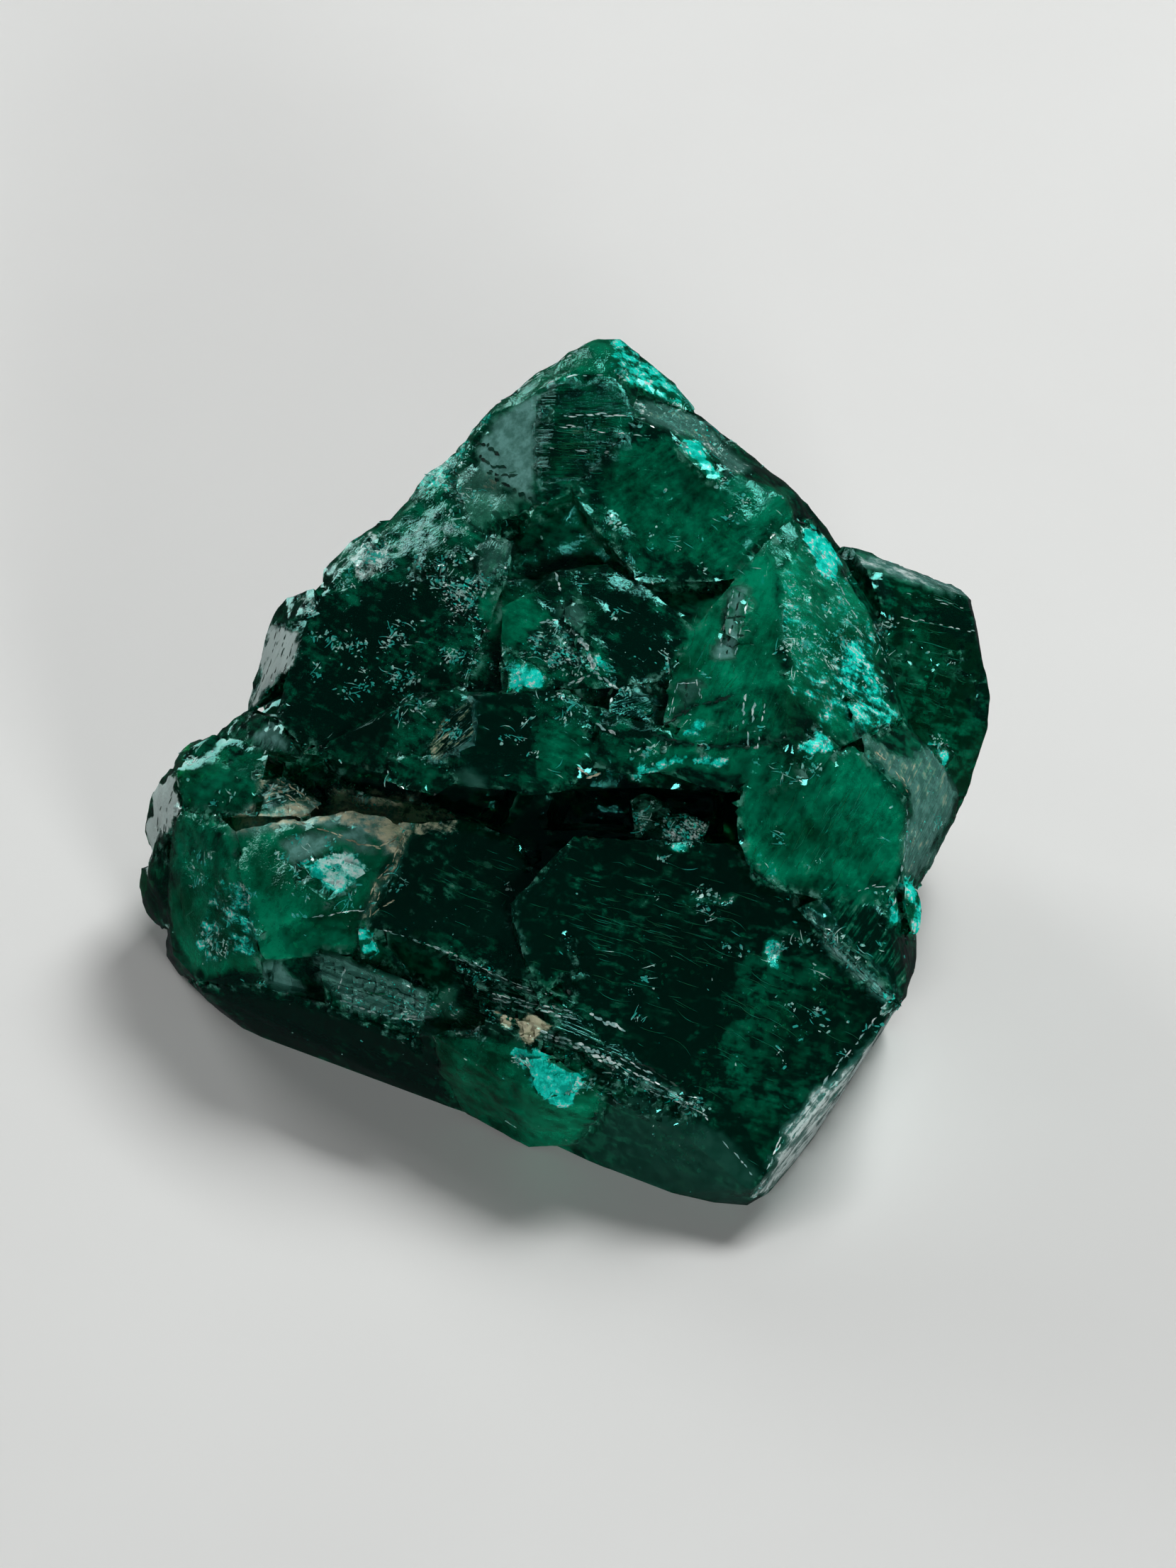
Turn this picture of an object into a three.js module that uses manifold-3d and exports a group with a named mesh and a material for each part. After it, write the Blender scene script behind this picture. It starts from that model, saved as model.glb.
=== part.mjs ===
// Dioptase cluster: a hand specimen of dark emerald-green dioptase, about 35 mm wide.
// It is one natural solid. Its stout crystals grew through each other and then broke, so each
// crystal below is a convex block of flat faces, and all the blocks are joined into one body.
//
// Crystal corners are given in the frame of the specimen's broad front, in millimetres: x runs
// across it to the right, y up it and z straight out of it. That front leans back from upright,
// so at the end the whole body is turned by the lean and stands on its flat broken base.

import * as THREE from "three";
import { ConvexGeometry } from "three/addons/geometries/ConvexGeometry.js";
import { mergeVertices } from "three/addons/utils/BufferGeometryUtils.js";
import Module from "manifold-3d";

const wasm = await Module();
wasm.setup();

// Driving dimensions.
const FRONT_LEAN = THREE.MathUtils.degToRad(50); // turn about X that takes the front frame upright
const BASE_DROP = 13.5; // from the middle of the broad front straight down to the broken base
const SIDES = 6; // a dioptase prism has six sides
const TIP_SLOPE = 0.62; // length of a rhombohedral tip, as a share of the prism's radius
const SHORT_EDGE = 0.75; // every second prism edge meets the tip higher up
const LONG_EDGE = 1.25; // and the ones between meet it lower down
const RIB_REACH = 4; // how deep a growth rib is rooted in the crystal behind it
const WELD = 1e-4; // corners closer than this are one corner

// Closed three.js geometry as a solid that can be joined and cut.
function solidOf(geometry) {
  const bare = geometry.clone();
  for (const name of Object.keys(bare.attributes)) {
    if (name !== "position") bare.deleteAttribute(name);
  }
  const welded = mergeVertices(bare, WELD);
  return new wasm.Manifold(
    new wasm.Mesh({
      numProp: 3,
      vertProperties: new Float32Array(welded.attributes.position.array),
      triVerts: new Uint32Array(welded.index.array),
    }),
  );
}

// The convex block that fits round its corners.
function block(corners) {
  return solidOf(new ConvexGeometry(corners.map((corner) => new THREE.Vector3(...corner))));
}

// Shaves a block back to flat crystal faces. A face passes through the point `at`, and its depth
// changes by `right` for each millimetre across and by `up` for each millimetre up the front.
function faced(solid, ...faces) {
  return faces.reduce((rest, { at, right, up }) => {
    const inward = new THREE.Vector3(right, up, -1).normalize();
    return rest.trimByPlane(inward.toArray(), inward.dot(new THREE.Vector3(...at)));
  }, solid);
}

// A whole crystal: a six-sided prism with a three-faced rhombohedral tip at its free end.
function prism({ foot, tip, radius, spin }) {
  const start = new THREE.Vector3(...foot);
  const end = new THREE.Vector3(...tip);
  const axis = end.clone().sub(start).normalize();
  const turn = new THREE.Quaternion().setFromUnitVectors(new THREE.Vector3(0, 0, 1), axis);
  const length = start.distanceTo(end);
  const corners = [end.toArray()];
  for (let side = 0; side < SIDES; side += 1) {
    const angle = spin + (side * 2 * Math.PI) / SIDES;
    const drop = radius * TIP_SLOPE * (side % 2 ? LONG_EDGE : SHORT_EDGE);
    for (const along of [0, length - drop]) {
      const corner = new THREE.Vector3(radius * Math.cos(angle), radius * Math.sin(angle), along);
      corners.push(corner.applyQuaternion(turn).add(start).toArray());
    }
  }
  return block(corners);
}

// Parallel growth ribs: long low ridges side by side. The first runs from `from` to `to`, each
// next one lies one `step` further on, and each is `trim` shorter at both ends than the last.
function ribs({ from, to, step, width, proud, count, trim }) {
  const start = new THREE.Vector3(...from);
  const end = new THREE.Vector3(...to);
  const along = end.clone().sub(start).normalize();
  const across = new THREE.Vector3(...step);
  const side = across.clone().normalize().multiplyScalar(width / 2);
  const out = new THREE.Vector3(0, 0, proud);
  const deep = new THREE.Vector3(0, 0, -RIB_REACH);
  return Array.from({ length: count }, (_, i) => {
    const a = start.clone().addScaledVector(across, i).addScaledVector(along, trim * i);
    const b = end.clone().addScaledVector(across, i).addScaledVector(along, -trim * i);
    const feet = [a, b].flatMap((end) => [end.clone().add(side), end.clone().sub(side)]);
    const crest = [a, b].map((end) => end.clone().add(out));
    const roots = feet.map((foot) => foot.clone().add(deep));
    return block([...crest, ...feet, ...roots].map((corner) => corner.toArray()));
  });
}

// The peak: a smooth facet on the left, a striated one in front and a thin rim round the top.
function peak() {
  const summit = block([
    [-0.9, 15.2, -3.2], [0.3, 15.95, -3.4], [2.2, 16.0, -3.4], [3.0, 14.1, -2.6], [3.0, 13.2, -2.3],
    [1.5, 12.1, -2.0], [0.4, 11.3, -1.6], [-1.3, 10.5, -1.6], [-3.4, 13.8, -4.3], [-4.6, 12.2, -4.7],
    [-3.6, 9.6, -3.2], [-3.3, 14.2, -5.9], [-2.7, 15.0, -6.0], [-1.0, 15.95, -5.6], [0.5, 17.1, -5.5],
    [1.3, 17.5, -5.6], [2.3, 17.5, -5.7], [3.1, 16.9, -6.1], [1.5, 17.0, -5.1], [-4.3, 13.0, -6.2],
    [-3.0, 9.0, -14], [3.5, 9.0, -15], [2.5, 16.0, -11], [-1.5, 14.5, -11],
  ]);
  const leftFacet = { at: [-2.4, 12.8, -3.75], right: 0.62, up: -0.42 };
  const frontFacet = { at: [1.0, 13.0, -2.6], right: 0.02, up: -0.385 };
  const rim = block([
    [2.3, 16.0, -4.6], [3.4, 15.3, -4.8], [5.3, 14.5, -5.4], [2.4, 17.2, -6.3], [3.3, 16.7, -6.4],
    [4.4, 15.8, -6.6], [5.3, 14.8, -6.9], [3.0, 13.0, -9], [5.4, 12.0, -9.5], [4.0, 14.0, -10.5],
  ]);
  const lines = ribs({
    from: [-0.9, 14.6, -3.4], to: [2.4, 14.4, -3.2], step: [0.1, -0.42, 0.16],
    width: 0.5, proud: 0.12, count: 6, trim: 0.12,
  });
  return [faced(summit, leftFacet, frontFacet), rim, ...lines];
}

// The cloudy shoulder right of the peak, with a rough band on its edge.
function rightShoulder() {
  const shoulder = block([
    [3.0, 14.1, -2.8], [4.3, 13.3, -2.5], [5.8, 12.0, -2.4], [6.6, 11.4, -2.4], [8.6, 11.0, -3.4],
    [9.4, 10.2, -3.9], [8.2, 8.6, -2.0], [6.6, 7.6, -1.2], [3.1, 7.5, -0.8], [1.2, 9.9, -1.2],
    [0.4, 11.2, -1.8], [3.2, 15.3, -5.2], [5.3, 14.5, -5.6], [7.0, 13.1, -5.6], [8.4, 11.8, -5.6],
    [9.5, 11.4, -6.2], [9.9, 10.7, -6.4], [11.4, 9.0, -7.4], [5.0, 13.5, -11], [10.0, 8.0, -13],
    [2.0, 6.0, -14],
  ]);
  const streak = block([
    [5.0, 13.5, -3.4], [5.6, 13.1, -3.2], [6.0, 12.1, -2.2], [6.5, 11.8, -2.2], [5.9, 11.6, -2.0],
    [5.2, 12.4, -2.1], [4.6, 13.0, -2.5], [5.5, 12.0, -6],
  ]);
  return [faced(shoulder, { at: [5.0, 10.0, -2.0], right: -0.2, up: -0.33 }), streak];
}

// Rough broken ground on the left of the upper mass, and the knobs on its outline.
function leftShoulder() {
  const flank = block([
    [-6.0, 11.4, -7.0], [-4.7, 12.0, -5.6], [-3.6, 9.6, -3.1], [-2.2, 9.3, -2.2], [-2.0, 8.6, -1.8],
    [-2.7, 6.8, -1.2], [-6.5, 7.6, -2.9], [-7.0, 10.0, -7.0], [-5.0, 3.3, -0.4], [-9.8, 7.2, -5.0],
    [-10.6, 5.8, -4.8], [-11.3, 3.8, -4.4], [-11.8, 2.2, -4.2], [-10.6, 0.9, -2.9], [-8.0, 0.8, -1.4],
    [-4.0, 3.2, -0.1], [-9.5, 6.0, -13], [-5.0, 10.5, -13], [-10.5, 2.0, -12], [-2.0, 4.0, -14],
  ]);
  const flake = block([
    [-3.9, 8.7, -2.4], [-3.1, 9.6, -2.3], [-2.0, 9.2, -1.5], [-2.4, 7.9, -1.1], [-3.2, 7.2, -1.4],
    [-3.0, 8.5, -6],
  ]);
  const upperKnob = block([
    [-9.9, 7.4, -5.6], [-9.7, 8.1, -6.2], [-9.0, 8.55, -6.3], [-8.5, 9.0, -6.4], [-8.1, 9.7, -6.7],
    [-7.5, 10.15, -6.8], [-7.0, 10.2, -6.7], [-6.6, 9.4, -5.2], [-7.2, 8.0, -3.9], [-8.2, 8.6, -4.6],
    [-8.4, 7.1, -4.4], [-6.0, 8.0, -10], [-9.0, 7.0, -11], [-7.0, 9.0, -11],
  ]);
  const upperChips = [
    block([
      [-6.9, 10.3, -6.3], [-6.2, 11.3, -6.6], [-5.4, 12.1, -6.7], [-4.7, 12.7, -6.6], [-4.0, 13.2, -6.6],
      [-4.2, 11.6, -5.0], [-5.2, 11.2, -5.2], [-6.3, 9.9, -5.0], [-5.0, 11.0, -10],
    ]),
    block([
      [-6.6, 8.9, -4.2], [-5.6, 10.2, -4.6], [-4.6, 9.6, -3.6], [-4.9, 8.2, -2.6], [-6.0, 7.9, -2.8],
      [-5.5, 9.0, -8],
    ]),
  ];
  const lowerKnob = block([
    [-10.2, 7.3, -6.4], [-10.0, 6.2, -5.0], [-10.7, 5.0, -4.8], [-11.3, 3.9, -4.9], [-12.3, 2.9, -6.2],
    [-12.9, 2.4, -7.6], [-12.6, 3.6, -8.0], [-12.2, 5.0, -8.0], [-12.0, 6.2, -7.8], [-11.7, 6.7, -7.6],
    [-11.3, 7.0, -7.4], [-10.8, 6.6, -6.6], [-10.0, 6.5, -12], [-11.5, 3.0, -12], [-8.0, 4.0, -12],
  ]);
  const lowestKnob = block([
    [-14.2, 1.35, -8.6], [-13.3, 1.8, -8.2], [-12.9, 2.4, -7.9], [-12.1, 2.2, -6.0], [-11.6, 1.8, -5.0],
    [-10.7, 0.6, -3.6], [-12.0, 0.8, -5.0], [-12.8, 1.0, -6.0], [-11.0, -0.5, -10], [-13.0, 0.0, -11],
    [-10.0, 2.0, -11],
  ]);
  const darkFace = { at: [-7.5, 4.0, -2.6], right: 0.5, up: -0.35 };
  return [faced(flank, darkFace), flake, upperKnob, ...upperChips, lowerKnob, lowestKnob];
}

// Broken steps across the middle, down to the ledge that overhangs the dark hollow.
function middleSteps() {
  const upperStep = block([
    [-2.5, 6.5, -0.8], [-0.2, 8.0, -1.0], [1.8, 8.2, -1.0], [3.1, 7.5, -0.8], [5.2, 5.8, 0.0],
    [4.2, 3.6, 1.0], [2.2, 3.2, 1.3], [0.8, 5.1, 0.3], [-2.6, 3.4, 0.2], [-2.3, 5.0, -0.2],
    [4.5, 3.0, -8], [-2.5, 4.0, -9], [1.0, 8.0, -10],
  ]);
  const ledge = block([
    [-5.2, 3.1, 0.3], [-3.7, 3.0, 0.9], [0.0, 3.1, 1.3], [0.9, 2.6, 1.7], [-3.9, -0.1, 1.5],
    [-2.8, -0.7, 1.7], [-1.0, -1.0, 2.0], [0.2, -0.8, 2.1], [1.2, -0.1, 2.0], [-6.0, -0.5, 0.4],
    [-8.0, 0.2, -1.0], [-10.4, 0.6, -3.0], [-9.0, 3.0, -8], [1.5, 3.5, -8], [-6.0, 1.2, -8],
    [1.0, 1.4, -8],
  ]);
  const ledgeTooth = block([
    [-7.2, -0.4, 0.0], [-6.6, -0.9, 0.6], [-5.2, -1.2, 1.1], [-4.4, -0.6, 1.5], [-5.0, 0.6, 1.0],
    [-7.0, 0.6, -0.2], [-6.0, 1.0, -6],
  ]);
  const ledgeEnd = block([
    [0.8, 2.6, 1.4], [1.5, 1.6, 2.0], [3.6, 1.5, 2.2], [4.1, 0.7, 2.8], [3.0, -0.3, 2.6],
    [1.1, 0.0, 2.1], [4.3, -0.1, 2.6], [6.0, -0.1, 2.9], [6.2, 1.0, 3.0], [3.5, 3.0, -6],
    [1.0, 2.0, -7], [6.0, 2.0, -6],
  ]);
  const greyWedge = block([
    [-0.1, 6.6, -0.2], [0.4, 6.95, -0.2], [0.85, 6.2, 0.1], [0.7, 5.4, 0.5], [-0.1, 5.9, 0.2],
    [0.3, 6.2, -4],
  ]);
  const splinter = block([
    [0.7, 5.4, 0.7], [1.4, 4.0, 1.4], [1.0, 3.9, 1.4], [0.3, 5.4, 0.5], [0.6, 5.2, -4],
  ]);
  const stepChunk = block([
    [2.2, 3.3, 1.5], [3.2, 3.4, 1.2], [3.8, 3.0, 1.3], [3.7, 1.9, 1.6], [1.8, 2.0, 1.7],
    [1.9, 2.8, 1.6], [2.5, 2.6, -5], [3.2, 2.2, -5],
  ]);
  const brightChip = block([
    [-2.5, 4.8, 0.2], [-1.7, 4.4, 0.5], [-0.8, 3.9, 0.9], [-0.3, 3.1, 1.2], [-2.3, 3.1, 0.9],
    [-1.5, 4.0, -4],
  ]);
  return [upperStep, ledge, ledgeTooth, ledgeEnd, greyWedge, splinter, stepChunk, brightChip];
}

// The wedge: the brightest crystal, with a smooth face on its left and a rough one on its right.
function wedge() {
  const body = block([
    [8.1, 9.2, -1.8], [8.6, 6.6, 0.9], [8.8, 3.4, 3.0], [9.0, 1.6, 4.0], [6.3, 7.0, -0.4],
    [5.0, 5.4, 0.5], [4.1, 3.5, 1.6], [3.9, 1.9, 2.4], [6.1, 2.4, 3.3], [8.0, 1.3, 4.2],
    [9.6, 10.2, -4.2], [11.1, 8.4, -4.2], [12.4, 6.3, -3.4], [13.0, 4.3, -2.4], [13.7, 2.0, -1.8],
    [12.5, 1.7, 0.0], [11.3, 1.3, 1.5], [10.4, 0.9, 2.7], [9.5, 0.2, 3.5], [11.3, 8.6, -6.0],
    [12.9, 6.0, -5.8], [13.9, 2.4, -5.0], [9.0, 7.5, -10], [12.0, 3.0, -10], [5.5, 3.0, -9],
  ]);
  const smoothFace = { at: [7.0, 3.5, 1.95], right: 0.25, up: -0.68 };
  const roughFace = { at: [11.0, 3.5, 0.1], right: -1.15, up: -0.65 };
  const foot = block([
    [4.0, 0.8, 2.9], [6.0, -0.1, 2.9], [3.1, 0.0, 2.4], [6.9, 0.6, 3.7], [9.4, 0.5, 3.7],
    [8.2, 1.5, 3.8], [5.0, 2.0, 2.6], [9.9, -0.4, 3.1], [7.0, -1.2, 3.0], [6.0, 1.0, -6],
    [9.5, 0.0, -6],
  ]);
  const flakes = [
    block([
      [6.4, 5.4, 0.9], [7.1, 5.0, 1.3], [7.5, 7.0, 0.0], [6.8, 7.3, -0.3], [7.0, 6.0, -4],
    ]),
    block([
      [11.3, 3.1, 0.4], [12.8, 2.9, -1.2], [13.8, 2.0, -2.0], [12.6, 1.7, 0.2], [11.6, 2.0, 1.1],
      [12.5, 2.5, -5],
    ]),
    block([
      [9.8, 10.3, -4.2], [10.4, 9.8, -4.5], [11.2, 8.5, -4.4], [11.0, 7.6, -3.7], [10.2, 8.2, -2.9],
      [9.8, 9.2, -3.3], [10.5, 9.0, -7],
    ]),
  ];
  return [faced(body, smoothFace, roughFace), foot, ...flakes];
}

// The plate: a flat green face, with a rough grey side that turns away on its right.
function plate() {
  const front = block([
    [11.7, 0.9, 1.6], [12.1, 0.5, 1.5], [13.9, -1.2, 0.7], [13.9, -2.5, 0.8], [13.5, -4.7, 1.1],
    [13.1, -5.3, 1.2], [11.5, -5.5, 1.9], [10.0, -4.9, 2.6], [8.9, -4.9, 3.0], [7.5, -4.2, 3.5],
    [7.0, -2.8, 3.7], [6.9, -0.7, 3.7], [9.8, -0.4, 2.6], [10.4, 0.4, 2.3], [8.0, -4.0, -8],
    [13.0, -4.5, -9], [12.0, 0.5, -9], [7.5, -0.5, -8],
  ]);
  const side = block([
    [12.0, 1.3, 0.9], [13.7, 0.4, -0.8], [13.9, -1.1, 0.1], [13.9, -2.6, 0.2], [13.6, -4.6, 0.4],
    [15.5, 0.2, -3.6], [16.1, -0.9, -4.8], [15.9, -2.0, -5.0], [15.3, -3.2, -4.8], [14.8, -4.2, -4.6],
    [14.4, -5.0, -4.2], [13.8, 1.9, -2.4], [14.6, 1.2, -3.6], [13.0, 0.0, -10], [13.0, -4.0, -11],
  ]);
  const sideChip = block([
    [14.8, 1.0, -3.3], [15.5, 1.0, -4.0], [15.9, 0.6, -4.6], [15.6, 0.0, -4.3], [15.0, 0.2, -3.4],
    [15.0, 0.4, -7],
  ]);
  const flake = block([
    [10.3, 1.8, 2.5], [11.1, 0.9, 2.2], [10.4, 0.1, 2.6], [9.3, -0.4, 3.2], [9.1, 0.3, 3.8],
    [9.6, 1.0, 3.4], [10.0, 0.5, -2],
  ]);
  return [faced(front, { at: [10.5, -2.0, 1.9], right: -0.43, up: 0 }), side, sideChip, flake];
}

// The prism on the right, which grew out of the back of the mass.
function rightPrism() {
  const body = block([
    [11.8, 9.05, -8.4], [16.2, 7.35, -9.4], [16.6, 6.9, -9.6], [12.3, 8.2, -6.6], [16.45, 7.0, -7.9],
    [13.0, 6.4, -5.9], [16.9, 5.5, -7.4], [17.45, 3.0, -8.0], [17.3, 1.6, -8.4], [16.9, 0.4, -9.0],
    [16.55, -0.9, -10.0], [16.0, -2.0, -11.2], [13.5, 1.8, -6.0], [14.5, -0.5, -7.0], [17.3, 3.0, -12],
    [16.2, -1.6, -13.6], [9.0, 9.0, -14], [9.0, 2.0, -15], [15.5, 5.0, -16.5], [15.0, 0.0, -17],
  ]);
  const lines = ribs({
    from: [12.9, 6.9, -6.2], to: [16.6, 5.9, -7.9], step: [0.06, -0.5, -0.02],
    width: 0.55, proud: 0.12, count: 7, trim: 0,
  });
  return [faced(body, { at: [15.0, 3.5, -7.15], right: -0.45, up: 0.05 }), ...lines];
}

// The long crystal along the bottom: a broad dark face, and side faces that run down to the base.
function bottomCrystal() {
  const right = block([
    [0.4, -2.6, 1.6], [7.0, -3.0, 1.3], [8.8, -5.0, 1.4], [9.6, -5.7, 1.5], [13.3, -9.4, 1.4],
    [12.6, -10.7, 1.6], [9.6, -13.8, 2.3], [8.8, -15.0, 2.5], [7.6, -16.8, 2.8], [5.6, -14.0, 2.6],
    [2.4, -12.3, 2.7], [-0.8, -9.8, 2.3], [-1.0, -8.2, 2.2], [-2.2, -5.4, 2.0], [13.6, -9.7, -7.4],
    [12.9, -10.6, -8.8], [11.8, -12.5, -6.6], [11.0, -13.7, -5.0], [10.1, -15.0, -3.4],
    [9.2, -16.1, -2.1], [8.3, -17.1, -0.8], [7.4, -17.6, -0.1], [6.0, -17.5, -0.3],
    [4.3, -17.1, -0.7], [1.0, -15.9, -2.2], [-0.8, -15.1, -3.2], [-1.0, -8, -14], [10, -4, -17],
  ]);
  const left = block([
    [-15.0, -8.8, -6.6], [-12.0, -8.9, -4.2], [-9.0, -9.6, -2.6], [-5.4, -10.8, -0.8],
    [-3.0, -11.5, 0.2], [-15.4, -8.7, -9.6], [-14.9, -9.1, -10.4], [-14.0, -10.0, -9.4],
    [-13.0, -10.7, -8.5], [-12.0, -11.15, -8.0], [-10.0, -11.65, -7.4], [-8.0, -12.3, -6.6],
    [-6.0, -13.2, -5.5], [-4.0, -14.0, -4.5], [-2.6, -14.4, -4.0], [-9.0, -5.0, -12],
    [-1.0, -7.0, -12], [-13.0, -6.0, -14],
  ]);
  return [faced(right, { at: [4.0, -8.0, 1.7], right: -0.06, up: -0.12 }), left];
}

// The dark slab left of centre, and the sheaves of growth ribs below it.
function slabAndRibs() {
  const slab = block([
    [-6.6, -2.2, -1.5], [-4.0, -2.0, -1.0], [-1.8, -2.7, -0.2], [-1.4, -3.8, 0.4], [0.0, -7.0, 2.3],
    [0.8, -8.1, 2.7], [-0.4, -8.8, 2.4], [-2.8, -7.3, 1.4], [-5.4, -7.0, 0.4], [-7.9, -6.3, -0.6],
    [-7.5, -4.6, -0.8], [-6.6, -3.0, -10], [-1.0, -4.0, -10], [-6.0, -7.0, -9], [0.0, -8.5, -9],
  ]);
  const upperRibs = ribs({
    from: [-4.6, -7.4, 0.5], to: [0.2, -9.2, 2.2], step: [0.05, -0.45, 0.08],
    width: 0.5, proud: 0.32, count: 6, trim: 0.28,
  });
  const lowerRibs = ribs({
    from: [-2.6, -10.1, 1.2], to: [5.6, -13.7, 2.7], step: [0.02, -0.42, -0.1],
    width: 0.48, proud: 0.34, count: 4, trim: 0.5,
  });
  const leftRibs = ribs({
    from: [-9.9, -7.4, -1.6], to: [-5.4, -9.1, 0.3], step: [-0.02, -0.42, -0.02],
    width: 0.46, proud: 0.26, count: 6, trim: 0.1,
  });
  const tanChip = block([
    [-1.9, -10.3, 1.8], [-1.2, -10.2, 2.2], [-0.7, -10.7, 2.4], [-1.2, -11.2, 2.0], [-1.9, -10.9, 1.4],
    [-1.2, -10.7, -2],
  ]);
  const flatFace = { at: [-4.0, -5.0, -0.05], right: 0.3, up: -0.36 };
  return [faced(slab, flatFace), ...upperRibs, ...lowerRibs, ...leftRibs, tanChip];
}

// The block at the lower left, with the smaller pieces that make the left outline.
function leftBlock() {
  const brightHalf = block([
    [-13.2, -2.6, -3.6], [-11.0, -2.1, -2.6], [-8.8, -1.7, -2.0], [-7.2, -1.9, -1.9], [-6.3, -2.6, -1.7],
    [-6.9, -4.0, -0.8], [-7.9, -5.5, -0.4], [-8.2, -6.2, -0.4], [-7.9, -7.4, -1.0], [-10.0, -7.6, -1.7],
    [-12.1, -7.7, -2.6], [-12.9, -5.2, -2.2], [-10.6, -4.6, -0.9], [-7.5, -3.0, -9], [-12.0, -3.0, -11],
    [-12.0, -8.0, -10], [-8.0, -7.5, -9],
  ]);
  const paleFlake = block([
    [-10.7, -3.8, -1.0], [-9.0, -3.2, -1.0], [-8.1, -4.2, -0.5], [-9.0, -4.9, -0.5], [-10.3, -4.5, -0.7],
    [-9.5, -4.0, -5],
  ]);
  const darkHalf = block([
    [-15.7, -1.5, -6.2], [-14.0, -1.9, -4.6], [-13.2, -2.7, -3.9], [-12.9, -5.2, -2.8],
    [-12.2, -8.0, -3.2], [-12.0, -8.8, -4.0], [-14.9, -8.7, -6.3], [-15.9, -7.6, -8.0],
    [-16.2, -5.5, -7.9], [-16.1, -3.2, -7.5], [-16.3, -7.7, -11.5], [-15.8, -8.4, -11],
    [-15.0, -5.0, -14], [-12.0, -5.0, -13],
  ]);
  const top = block([
    [-15.9, -0.1, -7.3], [-15.2, 0.9, -7.6], [-14.2, 1.3, -7.2], [-13.0, 1.2, -6.0], [-12.0, 0.8, -5.0],
    [-12.2, -0.4, -4.3], [-12.5, -1.9, -3.9], [-14.0, -1.95, -5.0], [-15.7, -1.5, -6.3],
    [-15.9, 0.4, -9.5], [-15.2, 1.1, -9.8], [-12.5, 0.0, -12], [-15.0, -2.0, -13],
  ]);
  const brownFace = block([
    [-12.3, -0.4, -4.6], [-11.4, -0.3, -4.4], [-10.2, -1.0, -3.8], [-9.8, -1.4, -3.4],
    [-10.4, -1.9, -2.9], [-12.4, -1.9, -3.5], [-10.0, -1.0, -9], [-12.0, -0.5, -10],
  ]);
  const whiteEdge = block([
    [-15.7, -0.2, -7.2], [-15.8, -1.7, -6.7], [-16.0, -2.7, -7.3], [-16.6, -3.0, -8.8],
    [-17.0, -3.9, -10.0], [-17.15, -2.5, -10.3], [-16.9, -1.1, -10.3], [-16.4, -0.3, -10.0],
    [-15.9, 0.3, -9.8], [-14.5, -0.5, -14], [-14.5, -3.0, -14],
  ]);
  const tip = block([
    [-16.2, -3.2, -8.3], [-16.2, -4.4, -8.0], [-16.2, -6.2, -8.3], [-16.5, -6.6, -9.8],
    [-17.2, -6.0, -11.0], [-17.5, -5.5, -11.4], [-17.6, -4.8, -11.2], [-17.4, -4.0, -10.8],
    [-16.9, -4.2, -9.2], [-15.0, -4.0, -14], [-15.0, -6.5, -13.5],
  ]);
  const sliver = block([
    [-8.3, -6.4, -0.2], [-7.8, -6.6, 0.0], [-7.5, -7.4, -0.3], [-8.1, -7.6, -0.7], [-8.0, -7.0, -4],
  ]);
  return [brightHalf, paleFlake, darkHalf, top, brownFace, whiteEdge, tip, sliver];
}

// The lump at the foot, which stands proud of the long crystal's side.
function footLump() {
  const lump = block([
    [-5.3, -10.7, -0.4], [-2.7, -10.2, 1.2], [-1.2, -11.2, 2.4], [0.5, -12.1, 3.0], [1.4, -12.8, 2.6],
    [-5.0, -12.2, -2.2], [-4.1, -13.9, -4.0], [-2.5, -14.5, -3.0], [-2.0, -15.0, -2.9],
    [-1.4, -15.3, -2.7], [-0.6, -15.2, -2.6], [0.4, -15.2, -1.8], [1.5, -14.2, 0.6],
    [-0.9, -13.2, 1.9], [-4.0, -11.5, -7], [0.0, -13.0, -6],
  ]);
  const paleFlake = block([
    [-1.9, -11.6, 2.3], [-0.7, -11.5, 2.9], [0.6, -12.2, 3.2], [0.3, -13.2, 2.9], [-0.9, -13.4, 2.1],
    [-0.5, -12.4, -2],
  ]);
  return [lump, paleFlake];
}

// The lower right corner: a striated edge and the small glassy beads beside it.
function lowerRightCorner() {
  const body = block([
    [9.4, -5.6, 2.2], [10.6, -5.1, 1.9], [13.2, -5.4, 0.8], [13.7, -7.6, 0.3], [13.8, -8.4, 0.2],
    [13.4, -9.5, 1.5], [12.4, -8.9, 1.9], [10.5, -6.9, 2.1], [14.35, -6.5, -5.0], [14.3, -7.8, -5.4],
    [14.0, -9.0, -6.5], [13.6, -9.8, -7.4], [12.9, -10.5, -8.6], [11.0, -6.0, -10], [13.0, -8.0, -11],
  ]);
  const ridge = block([
    [9.9, -5.8, 2.3], [11.2, -7.0, 2.4], [12.4, -7.8, 2.2], [13.4, -9.1, 1.8], [13.6, -9.5, 1.4],
    [11.0, -7.5, 1.9], [11.5, -7.5, -2],
  ]);
  const outerBead = block([
    [13.8, -4.3, 0.0], [14.3, -4.9, -0.6], [14.45, -5.6, -1.0], [14.45, -6.6, -1.1], [14.2, -7.1, -0.8],
    [13.9, -6.2, -0.3], [13.7, -5.2, 0.2], [13.8, -5.5, -6],
  ]);
  const innerBead = block([
    [13.3, -4.8, 0.9], [13.5, -5.6, 1.1], [13.55, -6.4, 0.9], [13.2, -6.8, 0.9], [13.0, -6.5, 1.1],
    [13.1, -5.5, 1.2], [13.3, -6.0, -4],
  ]);
  return [body, ridge, outerBead, innerBead];
}

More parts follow.
